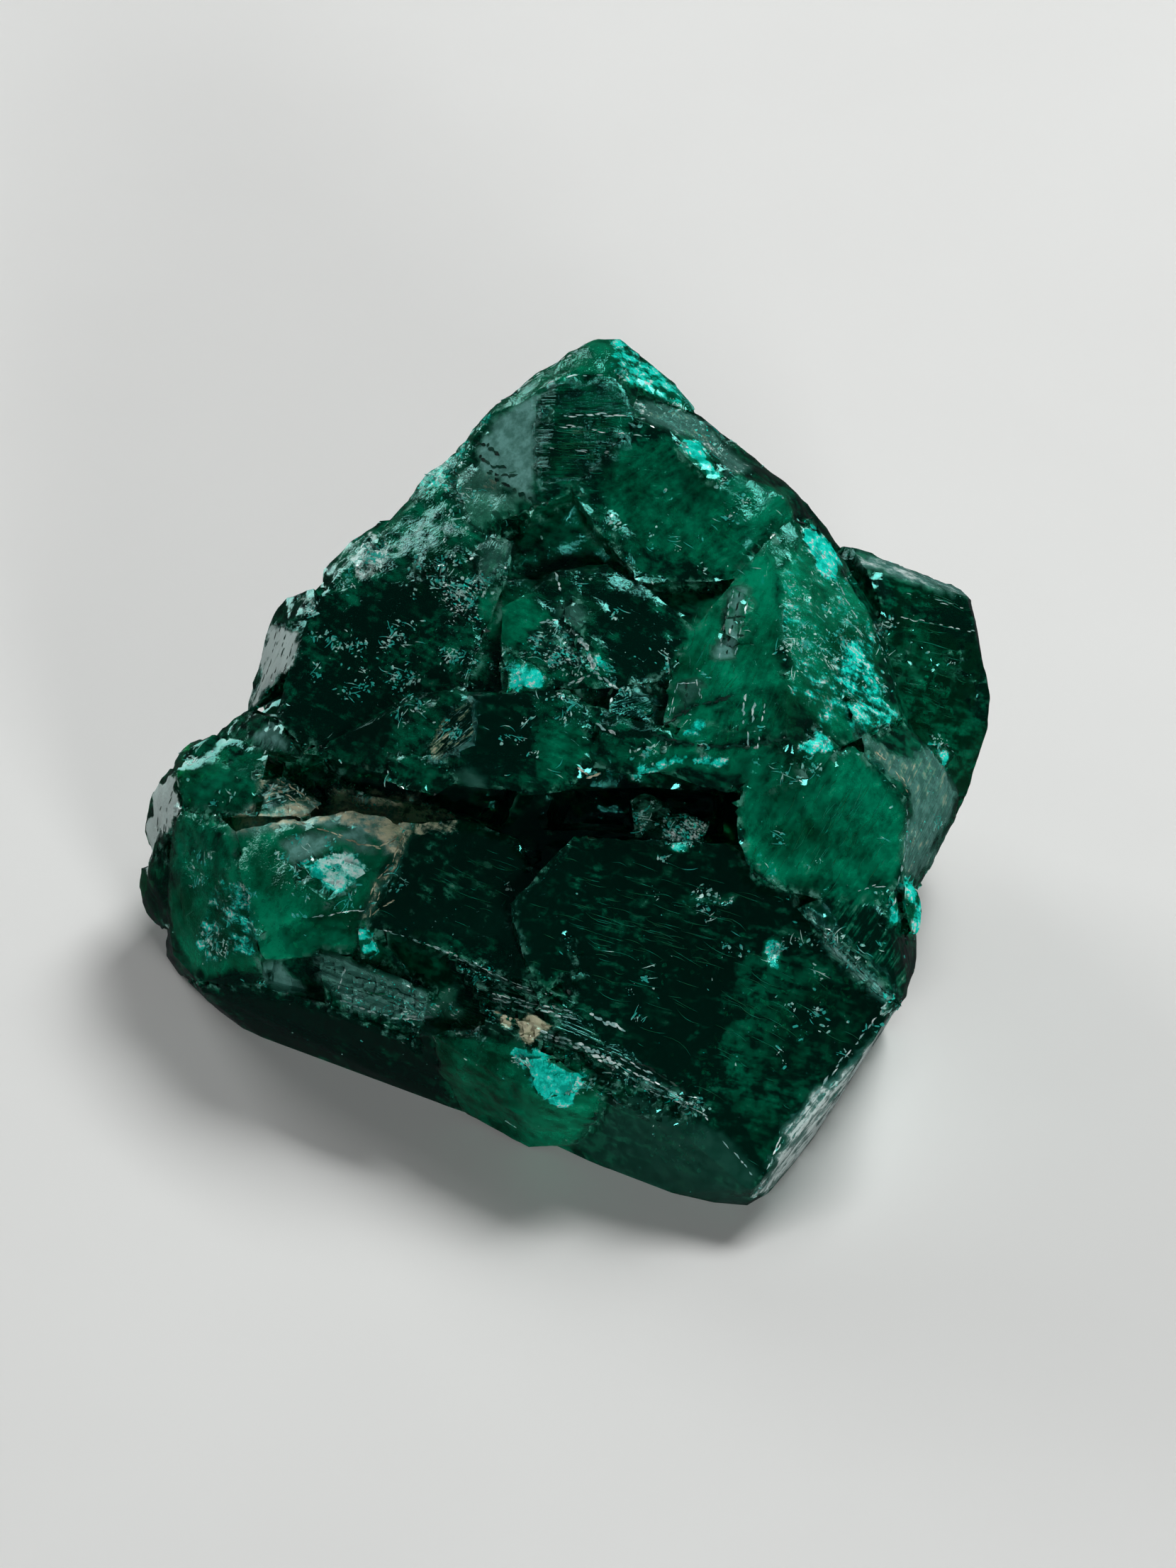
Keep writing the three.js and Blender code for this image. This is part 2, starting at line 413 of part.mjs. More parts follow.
// The inside of the mass, behind the crystals of the front. A dark hollow runs across it under the
// ledge, with one rough chunk left standing in it.
function heart() {
  const middle = block([
    [-11.0, 2.0, -7.0], [-12.5, -4.0, -6.5], [-8.0, -8.0, -4.5], [0.0, -9.0, -2.5], [8.0, -6.0, -2.0],
    [10.0, 0.0, -3.5], [3.0, 0.5, -2.8], [-5.0, 0.0, -3.6], [6.0, 9.0, -7], [-4.0, 9.0, -7],
    [-9, 4.5, -13], [9, 8, -13.5], [2, 14, -13], [-12, -5, -15], [12, -4, -17], [0, 2, -20],
    [-6, -2, -19], [8, 0, -20], [-4, -9, -12], [4, -9, -12],
  ]);
  const upper = block([
    [-8.5, 1.2, -2.8], [-4.0, 0.6, -0.6], [0.0, 0.6, 0.4], [4.0, 1.2, 1.2], [8.5, 1.4, 2.6],
    [11.5, 0.6, 0.0], [-5.0, 4.0, -1.4], [-3.0, 7.5, -2.4], [7.5, 5.0, 0.0], [8.2, 8.0, -2.6],
    [9.8, 9.4, -5.6], [12.2, 5.0, -5.0], [13.4, 1.4, -4.6], [-9.6, 5.6, -6.6], [-6.6, 9.4, -7.6],
    [-8, 3, -13], [10, 8, -12], [12, 2, -14], [-4, 9, -13],
  ]);
  const peakInside = block([
    [-2.5, 7.5, -2.6], [7.5, 8.5, -3.2], [1.0, 11.2, -3.0], [5.5, 11.5, -3.6], [-3.6, 11.5, -5.2],
    [0.5, 15.0, -5.0], [3.6, 13.6, -5.2], [8.8, 10.4, -6.2], [2.0, 16.0, -8.5], [-6, 9, -11],
    [9, 9, -12], [2, 14, -13],
  ]);
  const lower = block([
    [-1.5, -3.2, -0.6], [6.8, -3.4, 0.2], [9.4, -5.8, 0.4], [12.8, -9.4, 0.2], [8.0, -15.6, 1.2],
    [1.2, -12.6, 0.8], [-0.8, -9.4, 1.2], [-6.2, -3.4, -2.6], [-7.2, -6.6, -1.6], [-4.5, -10.0, -1.4],
    [-2.4, -13.2, -2.4], [2.0, -15.6, -1.6], [13.0, -6.0, -4.5], [12.6, -10.2, -8.0],
    [-6, -12.6, -6], [-4, -4, -13], [11, -6, -14],
  ]);
  const lowerLeft = block([
    [-12.2, -3.0, -5.0], [-7.4, -2.6, -2.8], [-7.8, -6.8, -2.0], [-11.8, -7.6, -4.0],
    [-11.8, -9.4, -5.4], [-8.4, -9.8, -3.4], [-4.6, -10.4, -1.8], [-5.4, -3.2, -2.6],
    [-5, -12, -6], [-12, -10.4, -8], [-15, -5, -12], [-4, -4, -12],
  ]);
  const right = block([
    [7.0, -0.9, 1.6], [6.4, 1.8, -0.6], [6.4, 1.6, -5.0], [9.2, 1.3, 2.8], [12.2, 0.5, -0.4], [13.2, -0.9, -1.2], [13.0, -4.6, -0.6],
    [9.4, -4.6, 1.2], [7.8, -4.0, 1.6], [12.8, -8.4, -0.6], [13.8, -7.6, -4.8], [14.4, -3.4, -7.2],
    [15.2, 0.4, -8.6], [14.0, 4.5, -9.0], [9, 6, -12], [14, 0, -15], [12, -7, -12], [8, -4, -14],
  ]);
  const left = block([
    [-15.4, -0.6, -9.2], [-12.4, 0.4, -6.4], [-10.4, -1.4, -5.0], [-12.6, -2.2, -4.8],
    [-13.6, -6.6, -5.2], [-12.2, -8.4, -5.0], [-15.8, -4.4, -9.4], [-15.6, -7.2, -9.2],
    [-14.5, -3.0, -14], [-10.0, -5.0, -13], [-14.8, -8.4, -10],
  ]);
  const leftHollow = block([
    [-11.5, 1.2, 3], [-1.0, -0.6, 3], [-1.6, -2.8, 3], [-7.2, -1.4, 3], [-11.5, -0.4, 3],
    [-9.5, 0.4, -7.0], [-2.5, -0.9, -6.5], [-3.0, -2.0, -6.5], [-8.5, -0.8, -7.0],
  ]);
  const rightHollow = block([
    [-2.0, -0.8, 3], [1.0, -0.2, 3], [7.0, -0.8, 3], [7.2, -2.9, 3], [-1.8, -2.9, 3],
    [0.5, -0.9, -6.0], [6.0, -1.2, -5.5], [6.0, -2.4, -5.5], [0.0, -2.2, -6.0],
  ]);
  const chunk = block([
    [2.7, -1.3, -0.4], [3.2, -1.0, -0.8], [4.6, -1.7, -0.2], [6.0, -2.2, 0.6], [5.6, -2.9, 1.2],
    [4.6, -3.1, 1.3], [2.9, -2.8, 0.6], [2.8, -2.0, -7.5], [5.5, -2.5, -7],
  ]);
  const mass = wasm.Manifold.union([middle, upper, peakInside, lower, lowerLeft, right, left]);
  return [mass.subtract(leftHollow).subtract(rightHollow), chunk];
}

// Whole crystals on the back and sides, fanning out of the mass.
function backCrystals() {
  return [
    prism({ foot: [0, 4, -12], tip: [-3.5, 10.0, -18.5], radius: 4.6, spin: 0.3 }),
    prism({ foot: [4, 2, -10], tip: [10.5, 4.0, -19.5], radius: 4.8, spin: 0.9 }),
    prism({ foot: [-4, 0, -10], tip: [-13.0, -0.5, -17.0], radius: 4.4, spin: 0.1 }),
    prism({ foot: [2, 6, -10], tip: [4.5, 13.6, -14.5], radius: 4.0, spin: 0.5 }),
    prism({ foot: [0, -2, -10], tip: [-2.5, 3.5, -23.6], radius: 5.0, spin: 0.0 }),
    prism({ foot: [6, -4, -10], tip: [13.4, -2.2, -16.6], radius: 4.2, spin: 0.7 }),
    prism({ foot: [-6, 3, -9], tip: [-10.2, 6.8, -14.5], radius: 3.2, spin: 0.2 }),
    prism({ foot: [8, -6, -8], tip: [12.8, -7.6, -13.0], radius: 3.0, spin: 0.4 }),
    prism({ foot: [-3, 4, -12], tip: [-8.6, 5.6, -19.4], radius: 2.8, spin: 0.8 }),
    prism({ foot: [2, 2, -14], tip: [3.6, 8.4, -21.4], radius: 3.0, spin: 0.6 }),
    prism({ foot: [4, -2, -14], tip: [6.8, -0.2, -22.6], radius: 2.6, spin: 0.1 }),
    prism({ foot: [5, 7, -10], tip: [8.2, 8.6, -15.0], radius: 2.4, spin: 0.9 }),
    prism({ foot: [-3, 7, -10], tip: [-4.4, 10.4, -14.8], radius: 2.4, spin: 0.4 }),
  ];
}

// Joins the crystals and breaks the mass off flat underneath.
function clusterSolid() {
  const joined = wasm.Manifold.union([
    ...heart(), ...peak(), ...rightShoulder(), ...leftShoulder(), ...middleSteps(), ...wedge(),
    ...plate(), ...rightPrism(), ...bottomCrystal(), ...slabAndRibs(), ...leftBlock(),
    ...footLump(), ...lowerRightCorner(), ...backCrystals(),
  ]);
  const upward = [0, Math.sin(FRONT_LEAN), Math.cos(FRONT_LEAN)];
  return joined.trimByPlane(upward, -BASE_DROP);
}

// The solid as geometry: upright, standing on z = 0, with the origin under its middle.
function clusterGeometry() {
  const mesh = clusterSolid().getMesh();
  const geometry = new THREE.BufferGeometry();
  geometry.setAttribute("position", new THREE.BufferAttribute(new Float32Array(mesh.vertProperties), 3));
  geometry.setIndex(new THREE.BufferAttribute(new Uint32Array(mesh.triVerts), 1));
  geometry.rotateX(FRONT_LEAN);
  geometry.computeBoundingBox();
  const { min, max } = geometry.boundingBox;
  return geometry.translate(-(min.x + max.x) / 2, -(min.y + max.y) / 2, -min.z);
}

const dioptase = new THREE.MeshStandardMaterial({ color: 0x0b4a38, roughness: 0.2, metalness: 0 });
const specimen = new THREE.Mesh(clusterGeometry(), dioptase);
specimen.name = "dioptase_cluster";

const group = new THREE.Group();
group.add(specimen);
export default group;
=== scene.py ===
import math
import bpy
import numpy as np
from mathutils import Euler, Matrix, Vector
from mathutils.bvhtree import BVHTree
from random import Random


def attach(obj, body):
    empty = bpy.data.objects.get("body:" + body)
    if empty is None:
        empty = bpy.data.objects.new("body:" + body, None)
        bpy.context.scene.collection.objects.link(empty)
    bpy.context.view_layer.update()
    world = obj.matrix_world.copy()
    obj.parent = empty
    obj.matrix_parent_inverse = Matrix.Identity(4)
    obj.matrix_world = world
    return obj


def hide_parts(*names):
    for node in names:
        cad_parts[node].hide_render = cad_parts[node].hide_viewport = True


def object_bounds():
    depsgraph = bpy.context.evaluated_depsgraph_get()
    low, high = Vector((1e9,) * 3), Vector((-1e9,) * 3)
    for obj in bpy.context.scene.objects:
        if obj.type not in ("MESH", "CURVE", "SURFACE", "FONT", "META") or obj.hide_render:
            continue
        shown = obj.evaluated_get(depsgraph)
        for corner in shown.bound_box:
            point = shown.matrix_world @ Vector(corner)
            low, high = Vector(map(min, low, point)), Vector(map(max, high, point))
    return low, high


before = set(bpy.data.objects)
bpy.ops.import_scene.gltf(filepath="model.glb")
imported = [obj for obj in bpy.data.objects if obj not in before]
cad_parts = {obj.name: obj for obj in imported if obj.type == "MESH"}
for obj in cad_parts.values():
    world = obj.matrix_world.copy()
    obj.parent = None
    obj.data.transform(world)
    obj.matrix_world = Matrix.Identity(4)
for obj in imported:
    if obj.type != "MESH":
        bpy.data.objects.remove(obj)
CAD_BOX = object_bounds()

# The specimen's broad front leans back from upright. Places on it are given in its own frame, in
# millimetres: u across it to the right, v up it and w straight out of it.
MM = 0.001
FRONT_LEAN = math.radians(50)
FRONT_MIDDLE = np.array([0.0801, -4.4983, 13.5])  # the front frame's origin, in the row frame
ACROSS = np.array([1.0, 0.0, 0.0])
UPWARD = np.array([0.0, math.cos(FRONT_LEAN), math.sin(FRONT_LEAN)])
OUTWARD = np.array([0.0, -math.sin(FRONT_LEAN), math.cos(FRONT_LEAN)])
FRONT_AXES = np.stack([ACROSS, UPWARD, OUTWARD])

# The visible mesh is made on a grid of 2 ** GRID_DEPTH cells, of which the specimen's width takes
# GRID_SHARE. That makes cells of about 0.2 mm.
GRID_DEPTH = 8
GRID_SHARE = 0.59


def to_front(points):
    """Row-frame points in millimetres, as u, v, w."""
    return (points - FRONT_MIDDLE) @ FRONT_AXES.T


# ---------------- regions of the surface

# Patches of the front: the name, the relief, how strongly each look shows, and the outline in (u, v).
# `lean` is the angle that the streaks run at where it isn't the usual one, in degrees. Grey, silvery, white
# and bright patches are painted light: sheen, gleam, reflection and glow.
REGIONS = [
    # the peak
    # painted sheen: the facet's grey stands in for a reflection of broad light
    ("grey left facet of the peak", "smooth", dict(painted_sheen=1),
     [(-3.6, 13), (-3.1, 13.8), (-1.7, 14.9), (-0.95, 15.2), (-1, 13.2), (-1.2, 11.9), (-1.3, 10.7),
      (-2.2, 11.4), (-3.2, 11.9)]),
    # painted gleam and sheen on rough ground, over a faint tan stain
    ("rough ground below it", "scaly", dict(silver=1, tan=0.15, painted_sheen=0.5, emerald=0.4),
     [(-5, 11.5), (-4, 12.4), (-1.6, 10.8), (-3.5, 9.4)]),
    ("striated front of the peak", "striated", dict(emerald=0.22, silver=-0.8, lean=0),
     [(-0.9, 15), (0.3, 15.8), (2.2, 15.7), (3.2, 14.4), (2.4, 13.1), (0.7, 11.8), (-1.1, 11.2)]),
    ("top of the peak", "scaly", dict(emerald=0.6, silver=0.1),
     [(-2.8, 14.4), (-1.4, 15.3), (0.3, 15.9), (2.1, 16), (2.2, 18), (0.6, 18.4), (-1.6, 16.8),
      (-3.6, 15)]),
    # painted glow: turquoise for light through the thin rim
    ("left rim of the peak", "scaly", dict(turquoise=0.55),
     [(-6.6, 11), (-5.2, 13), (-3.8, 14.6), (-2.8, 14.4), (-3.5, 13.4), (-4.2, 12.5), (-5.4, 10.9)]),
    # painted glow through the thin rim
    ("upper left rim of the peak", "scaly", dict(turquoise=0.35),
     [(-3.8, 14.6), (-1.6, 16.8), (0.6, 18.4), (0.8, 17.6), (-1.2, 15.9), (-2.8, 14.6)]),
    # painted glow through the thin rim
    ("right rim of the peak", "smooth", dict(turquoise=0.7),
     [(1.5, 17.4), (2.4, 18), (4.2, 16.9), (5.9, 15.2), (5.5, 14.4), (4.2, 14.7), (3.2, 15.3),
      (2.2, 16.2)]),
    # painted gleam and sheen, over a tan stain
    ("rough band under the right rim", "hackly", dict(silver=1.1, painted_sheen=0.6, tan=0.35),
     [(2.6, 15.4), (5.4, 14.3), (7.7, 12.3), (7, 11.7), (5.9, 13), (4.5, 13.7), (3.2, 14.6)]),
    # painted glow
    ("streak beside the band", "smooth", dict(turquoise=1.3),
     [(5, 13.5), (5.5, 13.1), (6.5, 11.8), (6, 11.6), (4.7, 13)]),
    ("cloudy right shoulder", "smooth", dict(emerald=0.42, lean=35),
     [(2.5, 12.9), (4.2, 13.3), (6.5, 11.4), (8.5, 10.9), (8.2, 8.6), (6.3, 8), (3.5, 8.6), (1.5, 11)]),
    ("brighter right end of the shoulder", "hackly", dict(emerald=0.5, turquoise=0.15, lean=35),
     [(5.9, 11.6), (7.5, 11.9), (9.3, 11), (9.7, 9), (8.2, 7.9), (7.2, 8.6), (6.6, 10.2)]),
    ("hollow under the peak", "scaly", dict(emerald=0.32),
     [(-1.8, 10.6), (0.8, 11.4), (1.6, 10.6), (3.5, 8.6), (4.6, 7.2), (3, 7.6), (0.5, 8.6), (-1.6, 8.4)]),
    # the left of the upper mass
    # painted sheen on the flake
    ("striated flake", "striated", dict(painted_sheen=0.4, lean=70),
     [(-3.9, 8.7), (-3.1, 9.5), (-2.1, 9.1), (-2.5, 7.9), (-3.2, 7.3)]),
    ("scaly left shoulder", "scaly", dict(silver=-0.8, turquoise=0.05, emerald=0.32),
     [(-7.4, 9.9), (-5.2, 11.4), (-3.4, 9.6), (-3.6, 7.6), (-6.5, 7.4), (-9.6, 7.2), (-8.8, 8.9)]),
    # painted glints: white and silver for light caught by small facets
    ("white sparkle on it", "scaly", dict(silver=1, white=0.6),
     [(-8.9, 8.5), (-7.9, 9.7), (-7, 9.2), (-7.1, 8), (-8.3, 7.7)]),
    # painted reflection: the side's white and silver stand in for reflected light
    ("white striated side", "striated", dict(white=1, silver=0.5, lean=65),
     [(-11.2, 5.6), (-10.7, 5.2), (-11, 4.3), (-12.3, 3), (-12.9, 2.3), (-12.3, 4.3), (-11.9, 6.4)]),
    # painted reflection
    ("white spot above it", "scaly", dict(white=0.55),
     [(-10.7, 6.9), (-10, 7.1), (-9.9, 6.4), (-10.6, 6.3)]),
    # painted sheen in place of a reflection
    ("grey triangle below it", "smooth", dict(painted_sheen=1),
     [(-12.8, 1.4), (-12, 2.1), (-10.7, 0.6), (-11.9, 0.8)]),
    ("dark left flank", "smooth", dict(silver=-0.02),
     [(-10.5, 6), (-6.5, 7.2), (-3, 6.6), (-4.5, 3.4), (-8, 0.9), (-11.3, 2.2)]),
    # the middle
    ("broken middle mass", "scaly", dict(emerald=0.22, silver=0.08),
     [(-4.5, 7.2), (-1, 8.2), (3, 8), (4.6, 5.5), (3.8, 3), (2.6, 0.4), (-2, 0), (-7.5, 0.5), (-4.6, 3.4)]),
    ("dark ground beside the wedge", "smooth", dict(emerald=0, silver=-0.2),
     [(1.4, 7.6), (4.4, 6), (4.2, 3.6), (2.4, 3.4), (1.8, 5)]),
    # painted gleam, over a faint tan stain
    ("silvery patch under the flake", "scaly", dict(silver=0.6, tan=0.1),
     [(-5, 7.6), (-3.7, 7.9), (-2.7, 6.8), (-3.4, 5.9), (-4.6, 5.9)]),
    ("teal glow in the middle", "smooth", dict(emerald=0.6, turquoise=0.1),
     [(-3.4, 7.1), (-1.6, 7.2), (-0.3, 6.1), (-0.8, 5.6), (-2.4, 5.1), (-3.2, 5.6)]),
    # painted gleam and a little sheen
    ("blue-grey patch beside it", "scaly", dict(silver=0.7, painted_sheen=0.05),
     [(-1.4, 5.6), (0, 5.9), (0.8, 4.9), (0.9, 4.2), (-0.6, 3.9), (-1.2, 4.6)]),
    # painted shade: the hollow is kept clear, and so dark
    ("black hollow under the chip", "smooth", dict(),
     [(-3.6, 3), (-1.2, 2.9), (-1.1, 0.9), (-1.7, -0.2), (-3.8, 0)]),
    ("glow beside the hollow", "smooth", dict(emerald=0.45, turquoise=0.1),
     [(-1, 1.5), (0.6, 1.7), (0.8, 0.3), (-0.2, -0.6), (-1.1, -0.3)]),
    ("brown chunk left of the hollow", "striated", dict(silver=0.1, tan=0.4, lean=40),
     [(-5.5, 0.8), (-5.1, 1.8), (-3.7, 2.8), (-3.6, 1.4), (-4.2, 0.5), (-5, 0.3)]),
    # painted sheen on the flake
    ("flake at its foot", "smooth", dict(painted_sheen=0.4),
     [(-4.7, -0.3), (-3.9, 0), (-2.8, -0.4), (-3.4, -0.8)]),
    # painted glow and painted white glints
    ("white flakes at the wedge's foot", "scaly", dict(white=0.6, turquoise=0.9),
     [(2.9, -0.3), (3.3, 0.9), (3.7, 1.6), (4.1, 0.9), (3.9, -0.2)]),
    # painted sheen in place of a reflection
    ("grey triangle in the middle", "smooth", dict(painted_sheen=0.5),
     [(-0.2, 6.5), (0, 6), (0.7, 5.5), (0.85, 6.2), (0.4, 6.9)]),
    # painted glow
    ("bright chip", "scaly", dict(turquoise=1),
     [(-2, 4.8), (-1.7, 4.3), (-0.9, 3.9), (-0.5, 3.2), (-2.3, 3.1)]),
    # painted glow
    ("small bright chip", "scaly", dict(turquoise=1.3),
     [(1.3, 4.7), (1.9, 4.5), (2.2, 3.7), (1.4, 4)]),
    ("brown striated chunk", "striated", dict(emerald=-0.2, silver=-1.5, lean=20),
     [(2, 3), (3.9, 2.8), (3.7, 1.8), (3, 1.5), (1.7, 2)]),
    # painted gleam
    ("rough chunk in the hollow", "scaly", dict(silver=0.8),
     [(2.6, -1.2), (3.4, -0.9), (4.5, -1.6), (6, -2.2), (5, -3.1), (2.8, -2.9)]),
    # the wedge
    ("bright face of the wedge", "smooth", dict(emerald=0.8, lean=65),
     [(8.3, 9), (6.5, 7.5), (5, 5.5), (4.2, 3.5), (3.9, 1.8), (3.1, 0), (7, -0.2), (9, 1.2), (9, 3),
      (8.7, 5)]),
    # a little painted glow
    ("bright top of the wedge", "smooth", dict(emerald=1, turquoise=0.3, lean=65),
     [(8.3, 9), (6.4, 7.4), (5, 5.6), (4.8, 4.6), (6.2, 4.6), (9, 5.6)]),
    ("dark hollow low in the wedge", "smooth", dict(emerald=0.4, lean=65),
     [(5.6, 2.9), (7, 3.4), (8.8, 3.2), (9, 1.4), (7.6, 0.8), (6, 1.2)]),
    # painted reflection: the long window is sheen and white standing in for a reflected bright window
    ("long window in the wedge", "smooth", dict(painted_sheen=1, white=0.4, lean=77),
     [(6.2, 4.5), (6.85, 7.2), (7.5, 7.2), (6.9, 4.5)]),
    # a fainter painted reflection
    ("clear window in the wedge", "smooth", dict(painted_sheen=0.4),
     [(4.3, 2.1), (4.6, 3.4), (5.4, 3.5), (5.5, 2.6)]),
    # painted glow
    ("teal patch in the wedge", "smooth", dict(turquoise=0.95),
     [(4.8, 1.4), (5.2, 2), (6, 2.1), (5.6, 1.4)]),
    # painted glow and gleam on the green side
    ("rough side of the wedge", "scaly", dict(silver=0.35, turquoise=0.5, emerald=0.95),
     [(8.6, 7.4), (9.9, 10.2), (11.1, 8.2), (12.3, 6.5), (12.8, 5), (13, 3.2), (13.8, 2.1), (12, 1.3),
      (10.3, 1.7), (9.1, 3)]),
    # painted glow
    ("smooth lower part of that side", "smooth", dict(turquoise=0.7, emerald=1),
     [(11.2, 4.6), (12.5, 5.4), (13, 3.2), (13.8, 2.1), (12, 1.5), (10.7, 2.4)]),
    # painted glow
    ("bright strip beside it", "smooth", dict(turquoise=1.2),
     [(9.7, 10.3), (10.4, 9.8), (11.3, 8.5), (11.1, 7.7), (10.3, 8.2), (9.8, 9.2)]),
    # painted glow
    ("bright tip of the rough side", "smooth", dict(turquoise=0.65),
     [(11.5, 3), (12.8, 2.8), (13.8, 2), (12.6, 1.8)]),
    # painted glow
    ("bright flake under the wedge", "scaly", dict(turquoise=0.9),
     [(10.3, 1.8), (11.2, 0.9), (10.4, 0.1), (9.2, -0.4), (9, 0.2)]),
    ("web between the wedge and the plate", "smooth", dict(emerald=0.45, lean=55),
     [(6.9, 0.4), (8.9, 0.9), (9.4, -0.2), (8.8, -1.3), (7.4, -1.6), (7.1, -0.5)]),
    # the plate and the right side
    ("plate", "smooth", dict(emerald=0.58, lean=55),
     [(11.8, 0.9), (12.9, -0.6), (13.9, -1.5), (14, -2.3), (13.4, -5), (12, -5.5), (9.9, -4.7),
      (8.3, -4.4), (7.3, -3.3), (7, -0.7), (9, 0.5)]),
    # painted glow in the paler foot
    ("paler left foot of the plate", "smooth", dict(emerald=0.95, turquoise=0.45, lean=55),
     [(7.2, -2.6), (8, -3), (9.2, -4.7), (8, -4.7), (7.2, -3.6)]),
    ("darker foot of the plate", "smooth", dict(emerald=0.28, lean=55),
     [(10, -4.2), (12, -4.6), (13.6, -4.2), (13.4, -5.2), (12, -5.6), (9.9, -4.9)]),
    # painted sheen and gleam, over a tan stain
    ("grey side of the plate", "striated", dict(painted_sheen=0.7, silver=0.3, tan=0.25, lean=65),
     [(11.9, 1.4), (14, 0.4), (15, 0.9), (16.1, -1), (15.4, -2.4), (14.4, -4.6), (13.6, -4.2),
      (13.9, -2), (13.8, -0.9), (12.4, 0.5)]),
    # painted glow
    ("chip on its edge", "smooth", dict(turquoise=1.2),
     [(15, 1), (15.9, 0.7), (15.6, 0)]),
    # painted glow
    ("outer bead", "smooth", dict(turquoise=0.8),
     [(13.7, -4.3), (14.2, -4.4), (14.5, -5.5), (14.4, -6.9), (13.9, -5.6)]),
    # painted glow
    ("inner bead", "smooth", dict(turquoise=1),
     [(13.1, -4.8), (13.7, -6), (13.3, -6.9), (12.8, -6.2)]),
    # painted reflection: the pale top stands in for the light it reflects
    ("top of the right prism", "smooth", dict(white=0.5, painted_sheen=1),
     [(11.6, 9.1), (16.5, 7.5), (16.7, 6.9), (14.3, 7.4), (12, 8.3)]),
    ("front of the right prism", "smooth", dict(emerald=0, silver=-0.5, lean=-15),
     [(12, 8.3), (16.6, 6.9), (17.6, 3.1), (16.6, -1), (15.9, -0.5), (15.5, 1), (13.9, 2), (13, 5)]),
    ("teal cloud in it", "smooth", dict(emerald=0.25, turquoise=0.1, lean=-15),
     [(13.5, 6.2), (14.8, 5.8), (15.6, 4.2), (14.6, 3.2), (13.6, 4.2)]),
    ("cloud at its foot", "smooth", dict(emerald=0.1, lean=-15),
     [(13.9, 2), (15.5, 1.2), (16.6, -0.9), (17.2, 1), (16.8, 2.8), (15.2, 2.6)]),
    # the lower left
    # painted reflection: white and silver stand in for reflected light
    ("white left edge", "scaly", dict(white=1.1, silver=0.4),
     [(-16.4, -0.2), (-15.7, 0), (-15.7, -1.7), (-15.9, -2.6), (-16.6, -2.7), (-17.1, -4.2),
      (-17.3, -3.4), (-16.9, -1.2)]),
    ("left lump", "smooth", dict(emerald=0.35, silver=-0.5),
     [(-15.6, 0.2), (-12, 0.7), (-12.3, -1.8), (-15.6, -1.6)]),
    ("brown face in the notch", "striated", dict(silver=0.3, tan=0.35, lean=10),
     [(-12.3, -0.3), (-10.9, -0.5), (-9.9, -1.2), (-10.3, -1.7), (-12.3, -1.9)]),
    # tan stain with a painted gleam on it
    ("brown ground along the cleft", "scaly", dict(tan=0.6, silver=0.9),
     [(-9.8, -0.6), (-6, -1), (-4.2, -2), (-4.8, -3.2), (-6.2, -3.2), (-7, -1.8), (-9.8, -1.5)]),
    ("lower left block", "hackly", dict(emerald=1.15, lean=70),
     [(-15.6, -2), (-12.5, -2.3), (-9.5, -2), (-7, -2.7), (-7.6, -5), (-8.2, -7), (-12, -7.8),
      (-14.9, -8.4), (-16.2, -6)]),
    ("dark corner of the block", "hackly", dict(emerald=0.38, lean=70),
     [(-15.7, -2), (-14.6, -2), (-13.4, -3.4), (-13.6, -4.8), (-15, -5.2), (-16, -4.6)]),
    ("darker pane low in the block", "smooth", dict(emerald=0.6, lean=20),
     [(-11.6, -6.4), (-9.8, -5.8), (-8.2, -5.7), (-8.2, -7.2), (-10.8, -7.6)]),
    # tan stain with a painted sheen and gleam on it
    ("pale top edge of the block", "scaly", dict(tan=0.7, painted_sheen=1.1, silver=0.4, emerald=1, lean=-10),
     [(-13.6, -1.7), (-9.5, -1.3), (-7.2, -1.3), (-6.2, -2.2), (-6.4, -4), (-7.4, -2.9), (-9.4, -2.3),
      (-13.4, -2.6)]),
    # painted glow and a little gleam
    ("teal patch on its left", "scaly", dict(turquoise=0.6, silver=0.15, emerald=0.8),
     [(-14.3, -4.5), (-13.2, -4.3), (-12.3, -6), (-12.4, -7.4), (-14.6, -7.9), (-14.9, -6.6)]),
    # painted gleam
    ("silvery patch above it", "scaly", dict(silver=0.5, emerald=0.7),
     [(-15.6, -3.3), (-14.5, -3.6), (-14, -4.7), (-15.2, -4.9)]),
    # painted sheen over the green
    ("grey cloud above its flake", "smooth", dict(painted_sheen=0.9, emerald=1),
     [(-11.3, -3), (-10.2, -2.5), (-8.2, -2.3), (-7.6, -3.2), (-9.2, -3), (-10.9, -4)]),
    # painted glow with painted white glints
    ("bright flake on it", "scaly", dict(turquoise=1.3, white=0.7),
     [(-10.8, -3.7), (-9, -3.2), (-8.1, -4.2), (-9, -4.9), (-10.4, -4.5)]),
    # painted white glints over a painted glow
    ("its white half", "scaly", dict(white=0.75, turquoise=1),
     [(-9.5, -3.3), (-8.7, -3.3), (-8, -4.2), (-8.6, -4.8), (-9.4, -4.2)]),
    # painted glow
    ("bright sliver below it", "smooth", dict(turquoise=1.2),
     [(-8.2, -6.4), (-7.8, -6.5), (-7.5, -7.4), (-8.1, -7.6)]),
    # painted sheen and gleam on the ledge
    ("grey striated ledge", "striated", dict(painted_sheen=0.7, silver=0.3, lean=-24),
     [(-10, -7.3), (-8, -7.9), (-5.5, -9), (-5.2, -10.2), (-7, -10.2), (-9.2, -9.4), (-10.1, -8.1)]),
    # painted gleam and sheen
    ("rough ground right of the ledge", "scaly", dict(silver=0.9, painted_sheen=0.4, emerald=0.6, lean=-24),
